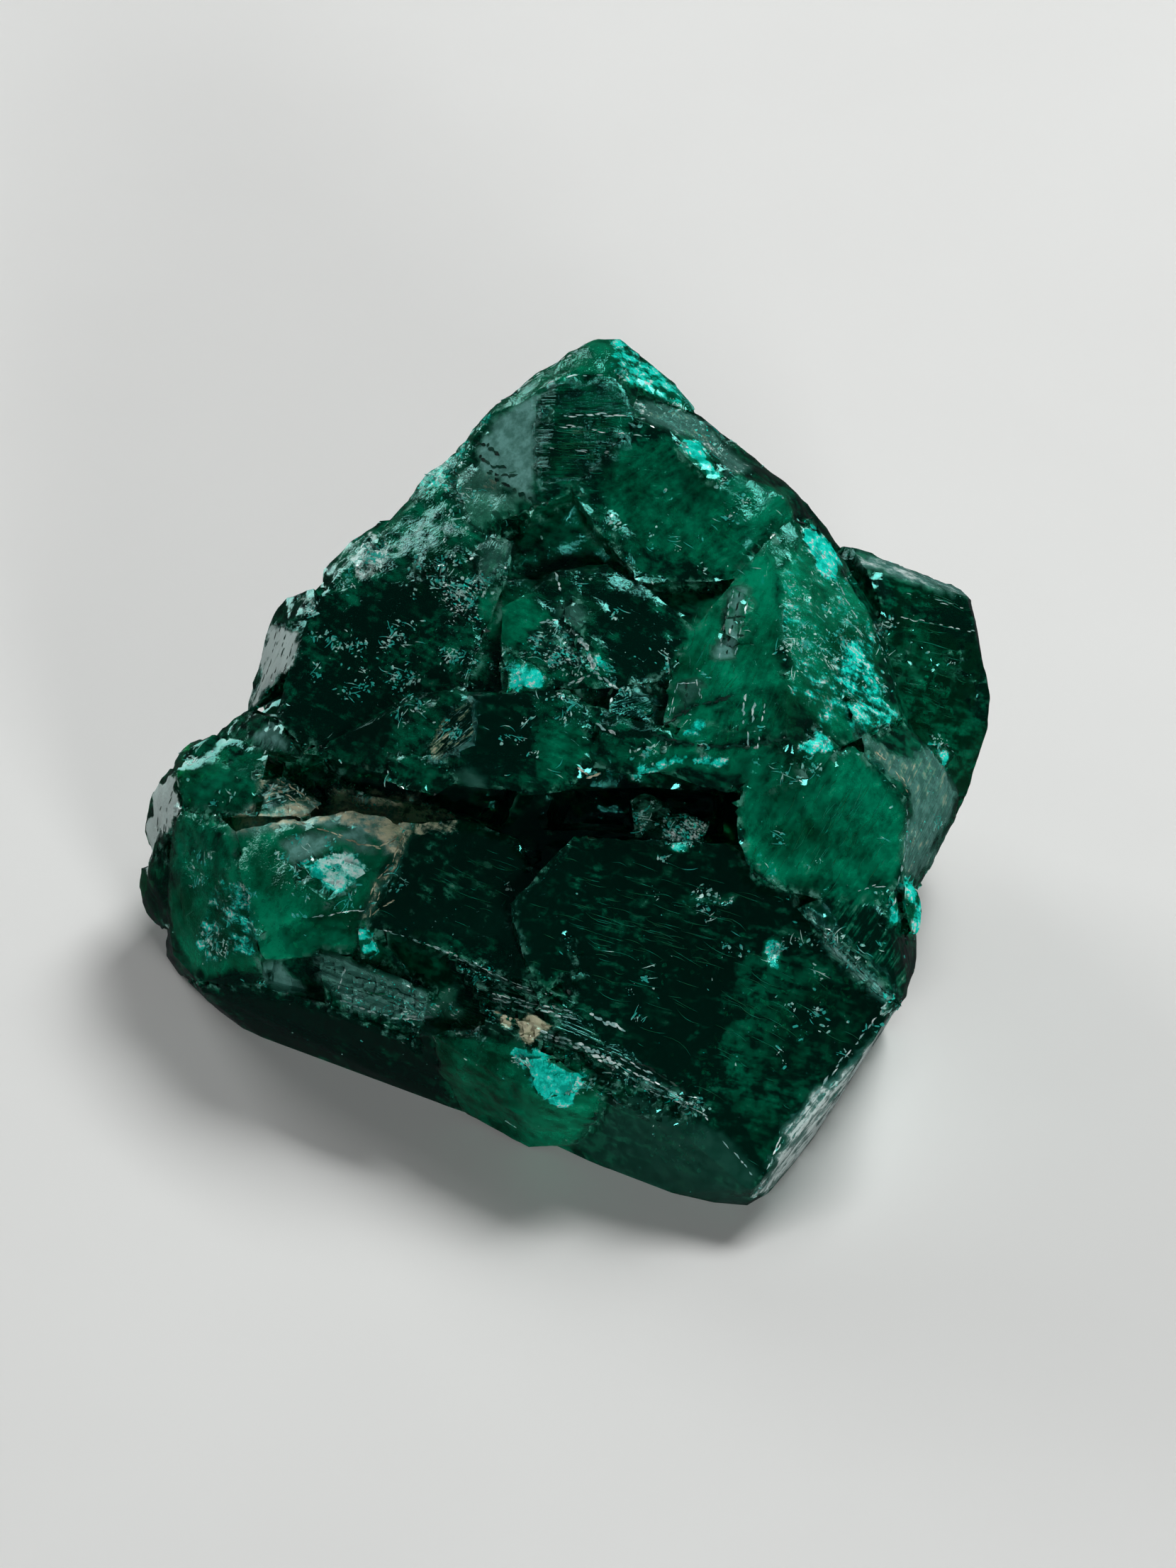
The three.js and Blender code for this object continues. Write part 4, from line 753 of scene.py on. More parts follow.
# Broken lines of slivers along edges, cracks and growth lines of the front: how wide the slivers are
# in mm, how much of the line they cover, and its path in (u, v). Some are pale cracks and growth lines; the
# others are painted highlights along edges, rims and ribs, and painted reflections in the wedge.
PALE_TRAILS = [
    # across the peak and its rims
    (0.07, 0.6, [(-0.1, 14.35), (1.5, 14.35), (3.5, 14.2)]),
    (0.05, 0.5, [(-0.7, 13.95), (1.2, 13.75), (2.9, 13.5)]),
    (0.04, 0.3, [(-1, 13), (0.6, 12.9), (2, 12.8)]),
    (0.12, 0.6, [(-5.4, 12.6), (-3.7, 14.2), (-2.2, 15.3), (-0.6, 16.3), (0.9, 17.3)]),
    (0.08, 0.5, [(-0.6, 15.7), (0.4, 16), (1.6, 16)]),
    # the middle
    (0.12, 0.9, [(-0.3, 7.9), (-0.1, 7.2)]),
    (0.2, 1, [(0.4, 5.5), (0.95, 4.9), (1.25, 4)]),
    (0.2, 1, [(0.5, 5.4), (1, 4.8), (1.2, 4)]),
    (0.1, 1, [(1.3, 3.9), (0.6, 3.6), (-0.2, 3.2)]),
    (0.14, 0.9, [(1.3, 3.9), (2, 3.3), (1.8, 2.8)]),
    (0.1, 0.7, [(-1, 5.9), (-0.3, 6)]),
    (0.14, 0.8, [(1.4, 1.8), (2, 1.4)]),
    # the painted window reflections in the wedge
    (0.07, 0.8, [(6.2, 4.5), (6.85, 7.2)]),
    (0.07, 0.8, [(6.9, 4.6), (7.5, 7.2)]),
    (0.12, 1, [(7.2, 1.9), (7.3, 2.8)]),
    (0.12, 1, [(7.55, 1.9), (7.65, 2.7)]),
    (0.07, 0.8, [(8, 2), (8.1, 2.6)]),
    (0.1, 0.9, [(7.4, 0.8), (7.4, 1.4)]),
    (0.07, 0.9, [(7.8, 0.9), (7.8, 1.4)]),
    (0.05, 0.9, [(4.3, 2.2), (4.6, 3.4), (5.4, 3.5), (5.5, 2.6)]),
    # the rough side, the right prism and the plate
    (0.08, 1, [(11.1, 7.6), (11.4, 6.9), (11.9, 6.1)]),
    (0.05, 0.6, [(13.4, 6.3), (15.2, 5.9), (16.8, 5.6)]),
    (0.04, 0.4, [(13.2, 7.4), (15, 6.9), (16.3, 6.6)]),
    (0.06, 0.8, [(13.9, -1.5), (13.8, -3.4), (13.2, -5.6)]),
    (0.06, 1, [(11.9, -4.9), (12.5, -4.7), (12.9, -4.7)]),
    # the left block, the ledge and the painted highlights on the ribs
    (0.05, 0.9, [(-10.1, -6), (-8.9, -5.75), (-8.2, -5.7)]),
    (0.12, 0.7, [(-8.9, -9.4), (-7, -10), (-5.2, -10.1)]),
    (0.06, 1, [(-9.1, -9), (-8.8, -8)]),
    (0.06, 0.8, [(-7.7, -6.4), (-6, -6.9), (-4.4, -7.5), (-3, -8.1), (-1.8, -8.7), (-0.4, -9.1)]),
    (0.08, 1, [(-2.9, -9), (-1.35, -9.4), (0.5, -9.8)]),
    (0.08, 1, [(-2.8, -9.2), (-1.2, -9.6), (0.5, -10.05)]),
    (0.16, 1, [(1, -9.8), (1.7, -10.1), (2.4, -10.5)]),
    (0.16, 1, [(-0.8, -10.6), (0.8, -11.1), (2, -11.7)]),
    (0.16, 0.9, [(-0.8, -10.75), (0.8, -11.25), (2, -11.85)]),
    (0.07, 0.9, [(2.3, -11.6), (3.6, -12.3)]),
    (0.07, 0.9, [(2.45, -12.05), (3.7, -12.6), (5.1, -13.4)]),
    (0.08, 0.8, [(2.9, -12.7), (4.4, -13.3), (5.7, -13.9)]),
    # painted highlights along the broad face's rims
    (0.08, 0.6, [(5.7, -14), (7, -15.6), (8.2, -17)]),
    (0.08, 0.6, [(13, -9.5), (10.8, -12.2), (8.8, -14.8), (7.8, -16.8)]),
]
# Dark slivers: real cracks, painted shade along creases, and dark bars in the painted reflections.
CRACK_TRAILS = [
    # in the peak's grey facet
    (0.2, 1, [(-3.6, 13.3), (-3.1, 13.15), (-2.6, 12.75)]),
    (0.16, 1, [(-3.4, 12.7), (-2.9, 12.35), (-2.3, 12.2)]),
    (0.14, 1, [(-3.2, 12.1), (-2.6, 11.9), (-2, 11.9)]),
    (0.18, 1, [(-2.9, 11.8), (-2.2, 11.45), (-1.5, 11), (-0.8, 10.7)]),
    # dark bars across the painted window reflections in the wedge, and painted shade along its creases
    (0.12, 1, [(6.4, 5.3), (7.1, 5.35)]),
    (0.12, 1, [(6.6, 6.1), (7.3, 6.15)]),
    (0.1, 1, [(6.6, 4.7), (7.1, 7.1)]),
    (0.12, 1, [(4.9, 2.3), (5, 3.4)]),
    (0.14, 1, [(3.9, 1.7), (5.2, 2.5), (6.8, 2.9)]),
    (0.14, 1, [(3.6, 1.3), (5.6, 0.9), (7.6, 0.9), (9.2, 1.3)]),
    # between the growth lines of the ledge, the ribs and the ridge
    (0.08, 0.9, [(-9.6, -8), (-7.6, -8.6), (-5.6, -9.4)]),
    (0.06, 0.9, [(-9.3, -8.6), (-7.4, -9.2), (-5.8, -9.8)]),
    (0.1, 1, [(-2.8, -9.1), (-1.2, -9.5), (0.6, -9.95)]),
    (0.1, 1, [(-0.9, -10.9), (0.8, -11.4), (2.2, -12.1)]),
    (0.1, 1, [(1.6, -11.2), (3.6, -12.1), (5, -13)]),
    (0.07, 0.9, [(10.4, -6.6), (12, -8.1), (13.2, -9.2)]),
    # down the white faces at the left edge
    (0.07, 0.8, [(-11.2, 5.9), (-11.45, 4.9), (-11.9, 3.7)]),
    (0.07, 0.8, [(-11.6, 5.7), (-11.85, 4.7), (-12.3, 3.4)]),
    (0.05, 0.8, [(-11, 5.2), (-11.2, 4.4), (-11.6, 3.6)]),
    (0.06, 0.6, [(-15.8, -0.7), (-16.2, -1.6), (-16.3, -2.7)]),
    (0.06, 0.6, [(-16.2, -0.8), (-16.6, -1.8), (-16.7, -2.8)]),
]
STAINED_TRAILS = [
    (0.09, 0.7, [(-13.6, -2), (-11.2, -2), (-9.4, -1.65), (-8, -1.55), (-6.9, -2), (-6.2, -2.3)]),
    (0.07, 0.6, [(-6.5, -2.6), (-6.9, -3.8), (-7.5, -4.4), (-7.85, -5.3), (-7.85, -6.1)]),
    (0.05, 0.5, [(-6.3, -2.4), (-6.7, -3.8), (-7.3, -4.6), (-7.7, -5.6)]),
    (0.07, 0.8, [(-11, -2.1), (-9.4, -2.55), (-8.3, -3), (-7.4, -3.2), (-6.8, -2.8)]),
    (0.06, 0.9, [(-7.8, -5.9), (-7.3, -5.5), (-6.8, -5.3)]),
    (0.06, 0.8, [(-12, -0.6), (-11, -1.2), (-10.4, -1.7)]),
    (0.08, 0.9, [(-11.6, -0.4), (-10.6, -1), (-9.9, -1.6)]),
    (0.2, 1, [(-2.8, -9.85), (-1.9, -10.1), (-1.2, -10.4), (-0.6, -10.3)]),
    (0.18, 1, [(-1.2, -10.4), (-1.4, -11)]),
    (0.12, 0.7, [(0.6, 0), (1, -0.3), (1.5, -0.1)]),
    (0.07, 0.6, [(11.9, 1.2), (13.2, 0.2), (14, -1)]),
]
# Faint growth lines on smooth faces: the middle (u, v), how far they reach across and up, the angle
# they run at in degrees, and how many there are.
GROWTH_LINES = [
    (3.4, -6.4, 2.4, 1.7, -17, 120), (7.6, -10.6, 1.5, 2, -30, 40), (-3.6, -4.6, 1.5, 0.9, -28, 30),
    (14.9, 4.2, 0.8, 1.6, -14, 60), (10.8, -2.2, 1.4, 1.3, 58, 60), (0.8, 13, 1, 0.8, -3, 60),
    (6.6, 4.4, 1, 1.6, 68, 40), (-7.6, -8.8, 1.4, 0.5, -24, 30),
]
GROWTH_LINE_LENGTH = (0.3, 1.6)
GROWTH_LINE_WIDTH = (0.015, 0.035)
GROWTH_LINE_TURN = 0.06  # how far each turns from their angle, in radians
GROWTH_LINE_LIFT = 0.04  # none is laid where it would stand off the surface by more, in mm
TRAIL_STEP = 0.2  # how far apart the slivers of a trail are, in mm
TRAIL_SCATTER = 0.035  # how far they lie off its path
TRAIL_REACH = (0.7, 2.0)  # how long they are, in steps
STEEPEST = 0.15  # no sliver is laid where the surface faces the front less than this

# Sealed veils: sheets of tiny flakes under the clear faces. The middle (u, v), how deep it lies
# under the surface, and how far it reaches, in mm.
VEILS = [
    (9.5, -2.2, 0.9, 1.6), (11.6, -3.4, 1.6, 1.2), (6.4, 4.6, 0.8, 1.5), (7.2, 2.6, 1.4, 1.3),
    (5.6, -7.2, 1, 2.2), (8.4, -9.4, 0.8, 2.4), (2.8, -6.4, 1.5, 1.8), (6, -12, 1.1, 1.8),
    (10.6, -9, 0.6, 1.5), (-9.4, -4.6, 0.8, 1.6), (-11.4, -5.8, 1.2, 1.5), (-13.8, -5.2, 1, 1.2),
    (1.2, 13.4, 0.8, 1.4), (4.2, 10.6, 0.9, 1.6), (6.2, 9.6, 1.3, 1.3), (15.2, 3.4, 0.9, 1.4),
    (-3.2, -4.8, 0.8, 1.6), (-1.6, -13.2, 0.9, 1.3), (4.2, -15.6, 1.2, 1.4), (-6.5, 4.6, 1.1, 1.6),
]
VEIL_FLAKES = 60
VEIL_FLAKE_SIZE = (0.04, 0.15)
VEIL_SPREAD = (0.5, 0.35)  # how far the flakes scatter along and across, as a share of its reach
VEIL_WAVES = ((0.25, 2.1), (0.2, 2.7))  # each wave's height in mm, and its radians a mm
VEIL_MARGIN = 0.2  # no flake comes nearer than this to the surface, in mm
VEIL_THICKNESS = 0.01
VEIL_TURN = 0.45  # how far a veil turns from the surface over it, and its flakes from the veil
FLAKE_TURN = 0.3


class Heap:
    """Many small closed solids, gathered into one mesh."""

    def __init__(self):
        self.points = []
        self.faces = []

    def slab(self, outline, rise):
        """A thin closed slab: an outline that turns left seen from above, and its copy higher up."""
        first, count = len(self.points), len(outline)
        self.points += outline
        self.points += [point + rise for point in outline]
        self.faces.append([first + i for i in reversed(range(count))])
        self.faces.append([first + count + i for i in range(count)])
        for i in range(count):
            j = (i + 1) % count
            self.faces.append([first + i, first + j, first + count + j, first + count + i])

    def build(self, name, material):
        mesh = bpy.data.meshes.new(name)
        mesh.from_pydata([point * MM for point in self.points], [], self.faces)
        mesh.materials.append(material)
        obj = placed(name, mesh)
        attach(obj, "root")


def surface_tree(piece):
    """The piece's surface for finding places on it, in millimetres."""
    corners = [vertex.co / MM for vertex in piece.data.vertices]
    return BVHTree.FromPolygons(corners, [list(face.vertices) for face in piece.data.polygons])


def front_spot(tree, u, v):
    """The place on the front at (u, v), and the surface's normal there."""
    start = front_point(u, v, BEFORE_FRONT) / MM
    place, normal, _, _ = tree.ray_cast(start, -Vector(OUTWARD))
    return place, normal


def chip_outline(random, size):
    """An uneven flake in its own plane, as (x, y) corners that turn left."""
    long = random.uniform(*CHIP_STRETCH)
    corners = []
    for i in range(CHIP_CORNERS):
        turn = (i + random.uniform(-CORNER_STRAY, CORNER_STRAY)) * math.tau / CHIP_CORNERS
        reach = size * random.uniform(*UNEVEN)
        corners.append((math.cos(turn) * reach * long, math.sin(turn) * reach / long))
    return corners


def sliver_outline(random, length, width):
    """A slightly curved sliver that tapers to both ends, as (x, y) corners that turn left."""
    bend = random.gauss(0, SLIVER_BEND) * length
    lower, upper = [], []
    for i in range(SLIVER_STEPS):
        t = i / (SLIVER_STEPS - 1)
        middle = bend * 4 * t * (1 - t)
        fullness = SLIVER_TIP + (1 - SLIVER_TIP) * math.sin(math.pi * t)
        half = width / 2 * fullness * random.uniform(*UNEVEN)
        lower.append(((t - 0.5) * length, middle - half))
        upper.append(((t - 0.5) * length, middle + half))
    return lower + upper[::-1]


def turned_about(normal, turn):
    """A direction square to a normal, turned about it from the one nearest to straight across."""
    side = normal.orthogonal().normalized()
    if abs(normal.dot(Vector(ACROSS))) < NEARLY_ACROSS:
        side = (Vector(ACROSS) - normal * normal.dot(Vector(ACROSS))).normalized()
    return side * math.cos(turn) + normal.cross(side) * math.sin(turn)


def laid_out(outline, place, normal, direction):
    """A flat outline laid at a place, square to a normal, its x along a direction."""
    other = normal.cross(direction)
    return [place + direction * x + other * y for x, y in outline]


def add_flake(heap, outline, place, normal, direction):
    corners = laid_out(outline, place - normal * CHIP_SINKS, normal, direction)
    heap.slab(corners, normal * (CHIP_SINKS + CHIP_STANDS))


def add_chip(heap, random, place, normal, lean):
    if random.random() < SCRATCH_SHARE:
        outline = sliver_outline(random, random.uniform(*SCRATCH_LENGTH), SCRATCH_WIDTH)
        turn = lean + random.gauss(0, SCRATCH_TURN)
    else:
        smallest, largest = CHIP_SIZE
        outline = chip_outline(random, smallest + (largest - smallest) * random.random() ** SMALLER_OFTEN)
        turn = lean + random.gauss(0, CHIP_TURN)
    add_flake(heap, outline, place, normal, turned_about(normal, turn))


def add_trail(heap, random, tree, width, cover, path):
    """Slivers laid one after the other along a path on the front, some left out."""
    for (start_u, start_v), (end_u, end_v) in zip(path, path[1:]):
        run, climb = end_u - start_u, end_v - start_v
        length = math.hypot(run, climb)
        seen = Vector(ACROSS) * (run / length) + Vector(UPWARD) * (climb / length)
        for step in range(round(length / TRAIL_STEP)):
            t = (step + random.random()) * TRAIL_STEP / length
            u = start_u + run * t + random.gauss(0, TRAIL_SCATTER)
            v = start_v + climb * t + random.gauss(0, TRAIL_SCATTER)
            place, normal = front_spot(tree, u, v)
            if not place or random.random() > cover:
                continue
            slope = normal.dot(Vector(OUTWARD))
            if slope < STEEPEST:
                continue
            direction = (seen - Vector(OUTWARD) * (seen.dot(normal) / slope)).normalized()
            outline = sliver_outline(random, TRAIL_STEP * random.uniform(*TRAIL_REACH), width)
            add_flake(heap, outline, place, normal, direction)


def build_trails(tree):
    """The slivers and cracks that lie along paths: one piece for each kind."""
    random = Random(6)
    for name, trails, light, dark in (
        ("pale_slivers_and_painted_highlights", PALE_TRAILS, WHITE, SILVER),
        ("stained_slivers", STAINED_TRAILS, TAN, BROWN),
        ("dark_cracks_and_painted_shade", CRACK_TRAILS, DARK, NEAR_BLACK),
    ):
        heap = Heap()
        for width, cover, path in trails:
            add_trail(heap, random, tree, width, cover, path)
        heap.build(name, pale_material(name, light, dark, clear=0.1))


def build_growth_lines(tree):
    """Faint slivers on smooth faces, all nearly one way in each group."""
    random = Random(8)
    heap = Heap()
    for u, v, reach_u, reach_v, lean, count in GROWTH_LINES:
        for _ in range(count):
            place, normal = front_spot(tree, random.gauss(u, reach_u), random.gauss(v, reach_v))
            outline = sliver_outline(
                random, random.uniform(*GROWTH_LINE_LENGTH), random.uniform(*GROWTH_LINE_WIDTH))
            turn = math.radians(lean) + random.gauss(0, GROWTH_LINE_TURN)
            if not place:
                continue
            direction = turned_about(normal, turn)
            corners = laid_out(outline, place, normal, direction)
            if all(tree.find_nearest(corner)[3] < GROWTH_LINE_LIFT for corner in corners):
                add_flake(heap, outline, place, normal, direction)
    heap.build("growth_lines", pale_material("growth_lines", FAINT_LINE, DEEP_EMERALD, clear=0.3))


def add_clumps(heap, random, tree, u, v, reach, count):
    """Flakes and scratches on the front, in small clumps that point one way."""
    while count > 0:
        lean = math.radians(random.choice(CHIP_LEANS))
        middle_u = random.gauss(u, reach * CLUMPS_SPREAD)
        middle_v = random.gauss(v, reach * CLUMPS_SPREAD)
        together = min(count, random.randint(1, CLUMP))
        count -= together
        for _ in range(together):
            place, normal = front_spot(
                tree, random.gauss(middle_u, CLUMP_REACH), random.gauss(middle_v, CLUMP_REACH))
            if place:
                add_chip(heap, random, place, normal, lean)


def build_chips(tree, box):
    """Bright flakes and scratches, many of them painted glints: in groups on the front, and strewn anywhere.
    """
    random = Random(4)
    heap = Heap()
    for group in CHIP_GROUPS:
        add_clumps(heap, random, tree, *group)
    (low_x, low_y, _), (high_x, high_y, high_z) = box
    for _ in range(STREWN_CHIPS):
        outside = Vector((random.gauss(0, 1), random.gauss(0, 1), random.gauss(STREW_RISE, 1))).normalized()
        target = Vector((random.uniform(low_x, high_x), random.uniform(low_y, high_y),
                         random.uniform(1 * MM, high_z))) / MM * STREW_AIM
        place, normal, _, _ = tree.ray_cast(target + outside * BEYOND, -outside)
        if place and place.z > BARE_FOOT:
            add_chip(heap, random, place, normal, math.radians(USUAL_LEAN))
    heap.build("chips_scratches_and_painted_glints", pale_material("pale_chips_and_painted_glints", PALE_TEAL, FLECK, clear=0.2))


def turned_at_random(random, normal, spread):
    return (normal + Vector([random.gauss(0, spread) for _ in range(3)])).normalized()


def build_veils(tree):
    """Wavy sheets of tiny flakes inside the crystal."""
    random = Random(9)
    heap = Heap()
    spread_x, spread_y = VEIL_SPREAD
    (height_x, fast_x), (height_y, fast_y) = VEIL_WAVES
    for u, v, depth, reach in VEILS:
        surface, normal = front_spot(tree, u, v)
        middle = surface - normal * depth
        slope = turned_at_random(random, normal, VEIL_TURN)
        side = slope.orthogonal().normalized()
        other = slope.cross(side)
        for _ in range(VEIL_FLAKES):
            x, y = random.gauss(0, reach * spread_x), random.gauss(0, reach * spread_y)
            wave = height_x * math.sin(x * fast_x + u) + height_y * math.sin(y * fast_y + v)
            place = middle + side * x + other * y + slope * wave
            nearest, outward, _, distance = tree.find_nearest(place)
            if distance < VEIL_MARGIN or (place - nearest).dot(outward) > 0:
                continue
            tilt = turned_at_random(random, slope, FLAKE_TURN)
            outline = chip_outline(random, random.uniform(*VEIL_FLAKE_SIZE))
            direction = turned_about(tilt, random.uniform(0, math.tau))
            heap.slab(laid_out(outline, place, tilt, direction), tilt * VEIL_THICKNESS)
    heap.build("sealed_veils", pale_material("veil_flakes", WHITE, TURQUOISE, clear=0.1))


# ---------------- materials

class Nodes:
    """Short calls for building a material's node tree."""

    def __init__(self, name):
        self.material = bpy.data.materials.new(name)
        self.material.use_nodes = True
        self.tree = self.material.node_tree

    def fill(self, socket, value):
        if isinstance(value, (int, float, tuple)):
            socket.default_value = value
        else:
            self.tree.links.new(value, socket)

    def fill_all(self, node, inputs):
        """Fills a node's inputs, which are named here with _ for a space."""
        for name, value in inputs.items():
            self.fill(node.inputs[name.replace("_", " ")], value)

    def add(self, kind, settings=None, **inputs):
        node = self.tree.nodes.new("ShaderNode" + kind)
        for name, value in (settings or {}).items():
            setattr(node, name, value)
        self.fill_all(node, inputs)
        return node

    def shade(self, **inputs):
        self.fill_all(self.tree.nodes["Principled BSDF"], inputs)

    def place(self):
        return self.add("TexCoord").outputs["Object"]

    def attribute(self, name):
        return self.add("Attribute", dict(attribute_name=name)).outputs["Fac"]

    def math(self, operation, *values, clamp=False):
        node = self.add("Math", dict(operation=operation, use_clamp=clamp))
        for socket, value in zip(node.inputs, values):
            self.fill(socket, value)
        return node.outputs[0]

    def times(self, a, b):
        return self.math("MULTIPLY", a, b)

    def plus(self, first, *others):
        for value in others:
            first = self.math("ADD", first, value)
        return first

    def less(self, a, b, clamp=False):
        return self.math("SUBTRACT", a, b, clamp=clamp)

    def largest(self, first, *others):
        for value in others:
            first = self.math("MAXIMUM", first, value)
        return first

    def weighed(self, *pairs):
        """The sum of values, each times its own weight."""
        return self.plus(*(self.times(value, weight) for value, weight in pairs))

    def centred(self, noise, gain):
        """Noise from 0 to 1, as a gain times how far it lies above or below the middle."""
        return self.times(self.less(noise, 0.5), gain)

    def vector(self, operation, a, b):
        node = self.add("VectorMath", dict(operation=operation))
        self.fill(node.inputs[0], a)
        self.fill(node.inputs[1], b)
        return node.outputs["Value" if operation == "DOT_PRODUCT" else "Vector"]

    def scaled(self, vector, scale):
        return self.add("VectorMath", dict(operation="SCALE"), Vector=vector, Scale=scale).outputs[0]

    def mix(self, share, a, b):
        node = self.add("Mix", dict(data_type="RGBA"), Factor=share)
        self.fill(node.inputs[6], a)  # 6 and 7 are its colours, and 2 is the mixed one
        self.fill(node.inputs[7], b)
        return node.outputs[2]

    def ramp(self, value, low, high):
        settings = dict(clamp=True)
        return self.add("MapRange", settings, Value=value, From_Min=low, From_Max=high).outputs[0]

    def noise(self, scale, detail=4.0, roughness=0.6, place=None):
        """Noise with `scale` features a metre, or to each unit of a place that is given."""
        if place is None:
            place = self.place()
        noise = self.add("TexNoise", Vector=place, Scale=scale, Detail=detail, Roughness=roughness)
        return noise.outputs[0]

    def streaks(self, across, along, detail, third=0.0):
        """Noise drawn out along each crystal: so many features a millimetre across, and along."""
        x = self.times(self.attribute("across"), across)
        y = self.times(self.attribute("along"), along)
        place = self.add("CombineXYZ", X=x, Y=y, Z=third).outputs[0]
        return self.noise(1.0, detail, STREAK_ROUGHNESS, place)

    def glints(self, crowding):
        """Painted glints: tiny crisp bright flakes laid in the colour, denser where `crowding` is higher."""
        flakes = self.streaks(*GLINTS, detail=3, third=7.0)
        patches = self.ramp(self.noise(PATCH_SCALE, detail=3), *GLINT_PATCHES)
        crowding = self.times(crowding, self.plus(CROWDED_LEAST, self.times(patches, CROWDED_MORE)))
        level = self.less(GLINT_LEVEL, self.times(crowding, CROWDED_BY))
        return self.ramp(self.less(flakes, level), 0.0, GLINT_EDGE)

    def small_facets(self, scale):
        """Flat facets tilted this way and that: the height over each cell's own plane."""
        place = self.place()
        cells = self.add("TexVoronoi", Vector=place, Scale=scale).outputs
        away = self.vector("SUBTRACT", self.scaled(place, scale), self.scaled(cells["Position"], scale))
        tilt = self.vector("SUBTRACT", cells["Color"], (0.5, 0.5, 0.5))
        return self.vector("DOT_PRODUCT", away, tilt)


# Colours. The silver, the sheen's grey and the white serve mostly as painted reflections and glints, and the
# turquoise as a painted glow of light through thin edges; white and turquoise are also the sealed veils' own
# colours, and tan and brown are stains.
CLEAR = (0.0, 0.26, 0.15, 1)
EMERALD = (0.0, 0.64, 0.32, 1)
DEEP_EMERALD = (0.0, 0.15, 0.06, 1)
TURQUOISE = (0.01, 0.95, 0.78, 1)
DEEP_TURQUOISE = (0.0, 0.5, 0.38, 1)
# the grey of the painted sheen, which stands in for a reflection of broad light
PAINTED_SHEEN_COLOUR = (0.22, 0.5, 0.46, 1)
SILVER = (0.25, 0.48, 0.46, 1)
WHITE = (0.8, 0.92, 0.9, 1)
TAN = (0.75, 0.68, 0.48, 1)
BROWN = (0.3, 0.27, 0.18, 1)
FLECK = (0.03, 0.5, 0.42, 1)
DARK = (0.004, 0.02, 0.015, 1)
NEAR_BLACK = (0.0, 0.05, 0.03, 1)
PALE_TEAL = (0.6, 0.92, 0.85, 1)
FAINT_LINE = (0.0, 0.3, 0.19, 1)
GLINT = (0.2, 0.95, 0.86, 1)
FLOOR_PALE = (0.99, 0.9, 0.9, 1)
FLOOR_SHADED = (0.95, 0.86, 0.86, 1)
ABSORBED_COLOUR = (0.02, 0.74, 0.64, 1)
ABSORPTION = 1500.0  # per metre
DIOPTASE_IOR = 1.67
FAINT_CLOUD = 0.04  # how cloudy even the clearest crystal is

# How fine the crystal's noises are, in features a metre, and how strongly they break up its looks.
CLOUD_SCALE = 280
BROAD_SCALE = 260
PATCH_SCALE = 380
MOTTLE_SCALE = 1900
FINE_SCALE = 6000
SMALL_FACET_SCALE = 2200
GRAIN_SHARES = (0.45, 0.35, 0.2)  # of the mottle, the streaks and the broad noise
CLOUD_SHARE = 0.65  # how much of the body's depth of colour is cloud, and not grain
UNEVENNESS = 3.2
RULING_DEPTH = 2.5
RULING_SHARE = 0.6

# How fine the drawn-out noises are, in features a millimetre across each crystal and along it.
STREAKS = (3.6, 1.0)
RULING = (9.0, 0.4)
GLINTS = (12.0, 6.0)
STREAK_ROUGHNESS = 0.62

# The strength over which a look comes up, from nothing to all of it.
SHOWS = dict(emerald=(0.05, 1.05), turquoise=(0.5, 0.8), silver=(0.3, 0.9), white=(0.5, 0.8), tan=(0.45, 0.8))
# How cloudy each look makes the crystal.
CLOUDS = dict(emerald=0.42, painted_sheen=0.8, silver=0.85, turquoise=0.85, glints=0.85, white=0.85, tan=0.85)

# Over which values of a noise or a look one thing gives way to the next.
CLEAR_TO_BODY = (0.0, 0.2)
DEEP_TO_BRIGHT = (0.38, 0.6)  # the body's two greens
DEEP_TO_FLECKED = (0.42, 0.52)  # the two turquoises
WHITE_FLECKS = ((0.5, 0.56), (0.54, 0.58))  # by the fine noise and by the mottle
WHITE_GLINTS = ((0.15, 0.6), (0.48, 0.56))  # by the silver and by the mottle
SILVER_TO_TURQUOISE = (0.45, 0.55)  # in the other glints
EDGE_WEAR_AND_HIGHLIGHT_PATCHES = (0.5, 0.6)
PAINTED_SHEEN_PATCHES = (0.4, 0.6)
GLINT_PATCHES = (0.42, 0.6)

GLINT_LEVEL = 0.72  # how high their noise has to be for a glint
GLINT_EDGE = 0.03  # how far above that a glint is at its brightest
CROWDED_BY = 0.32  # how much lower the level is where glints crowd
CROWDED_LEAST = 0.1  # how much of the crowding there is outside the patches
CROWDED_MORE = 1.4  # and how much more there is in them
# Where the painted glints crowd, and how much.
GLINTS_CROWD = (("silver", 0.5), ("rough", 0.08), ("striated", 0.04), ("turquoise", 0.12), ("edge", 0.6))

SILVER_LOST = 0.7  # how much silver rough ground loses
EDGE_WEAR_AND_HIGHLIGHT_FROM = (0.04, 0.16)  # the sharpness over which edges turn silver, partly as wear and partly as a painted highlight
EDGE_WEAR_AND_HIGHLIGHT_SHARE = 0.55
PAINTED_SHEEN_LEAST = 0.65  # the share of the painted sheen that shows everywhere in it
LEAST_DULL = 0.02  # the roughness of the clearest faces
DULLED_BY = (0.06, 0.08, 0.08)  # what rough ground, clouds and the mottle add to it

# The finest relief: how high its facets, grains and rulings stand, everywhere or on their own ground.
FACETS_EVERYWHERE = 0.05
GRAINS_EVERYWHERE = 0.06
GRAINS_ON_ROUGH = 0.4
RULING_HEIGHT = 0.4
BUMP_STRENGTH = 0.5
BUMP_DISTANCE = 0.0002

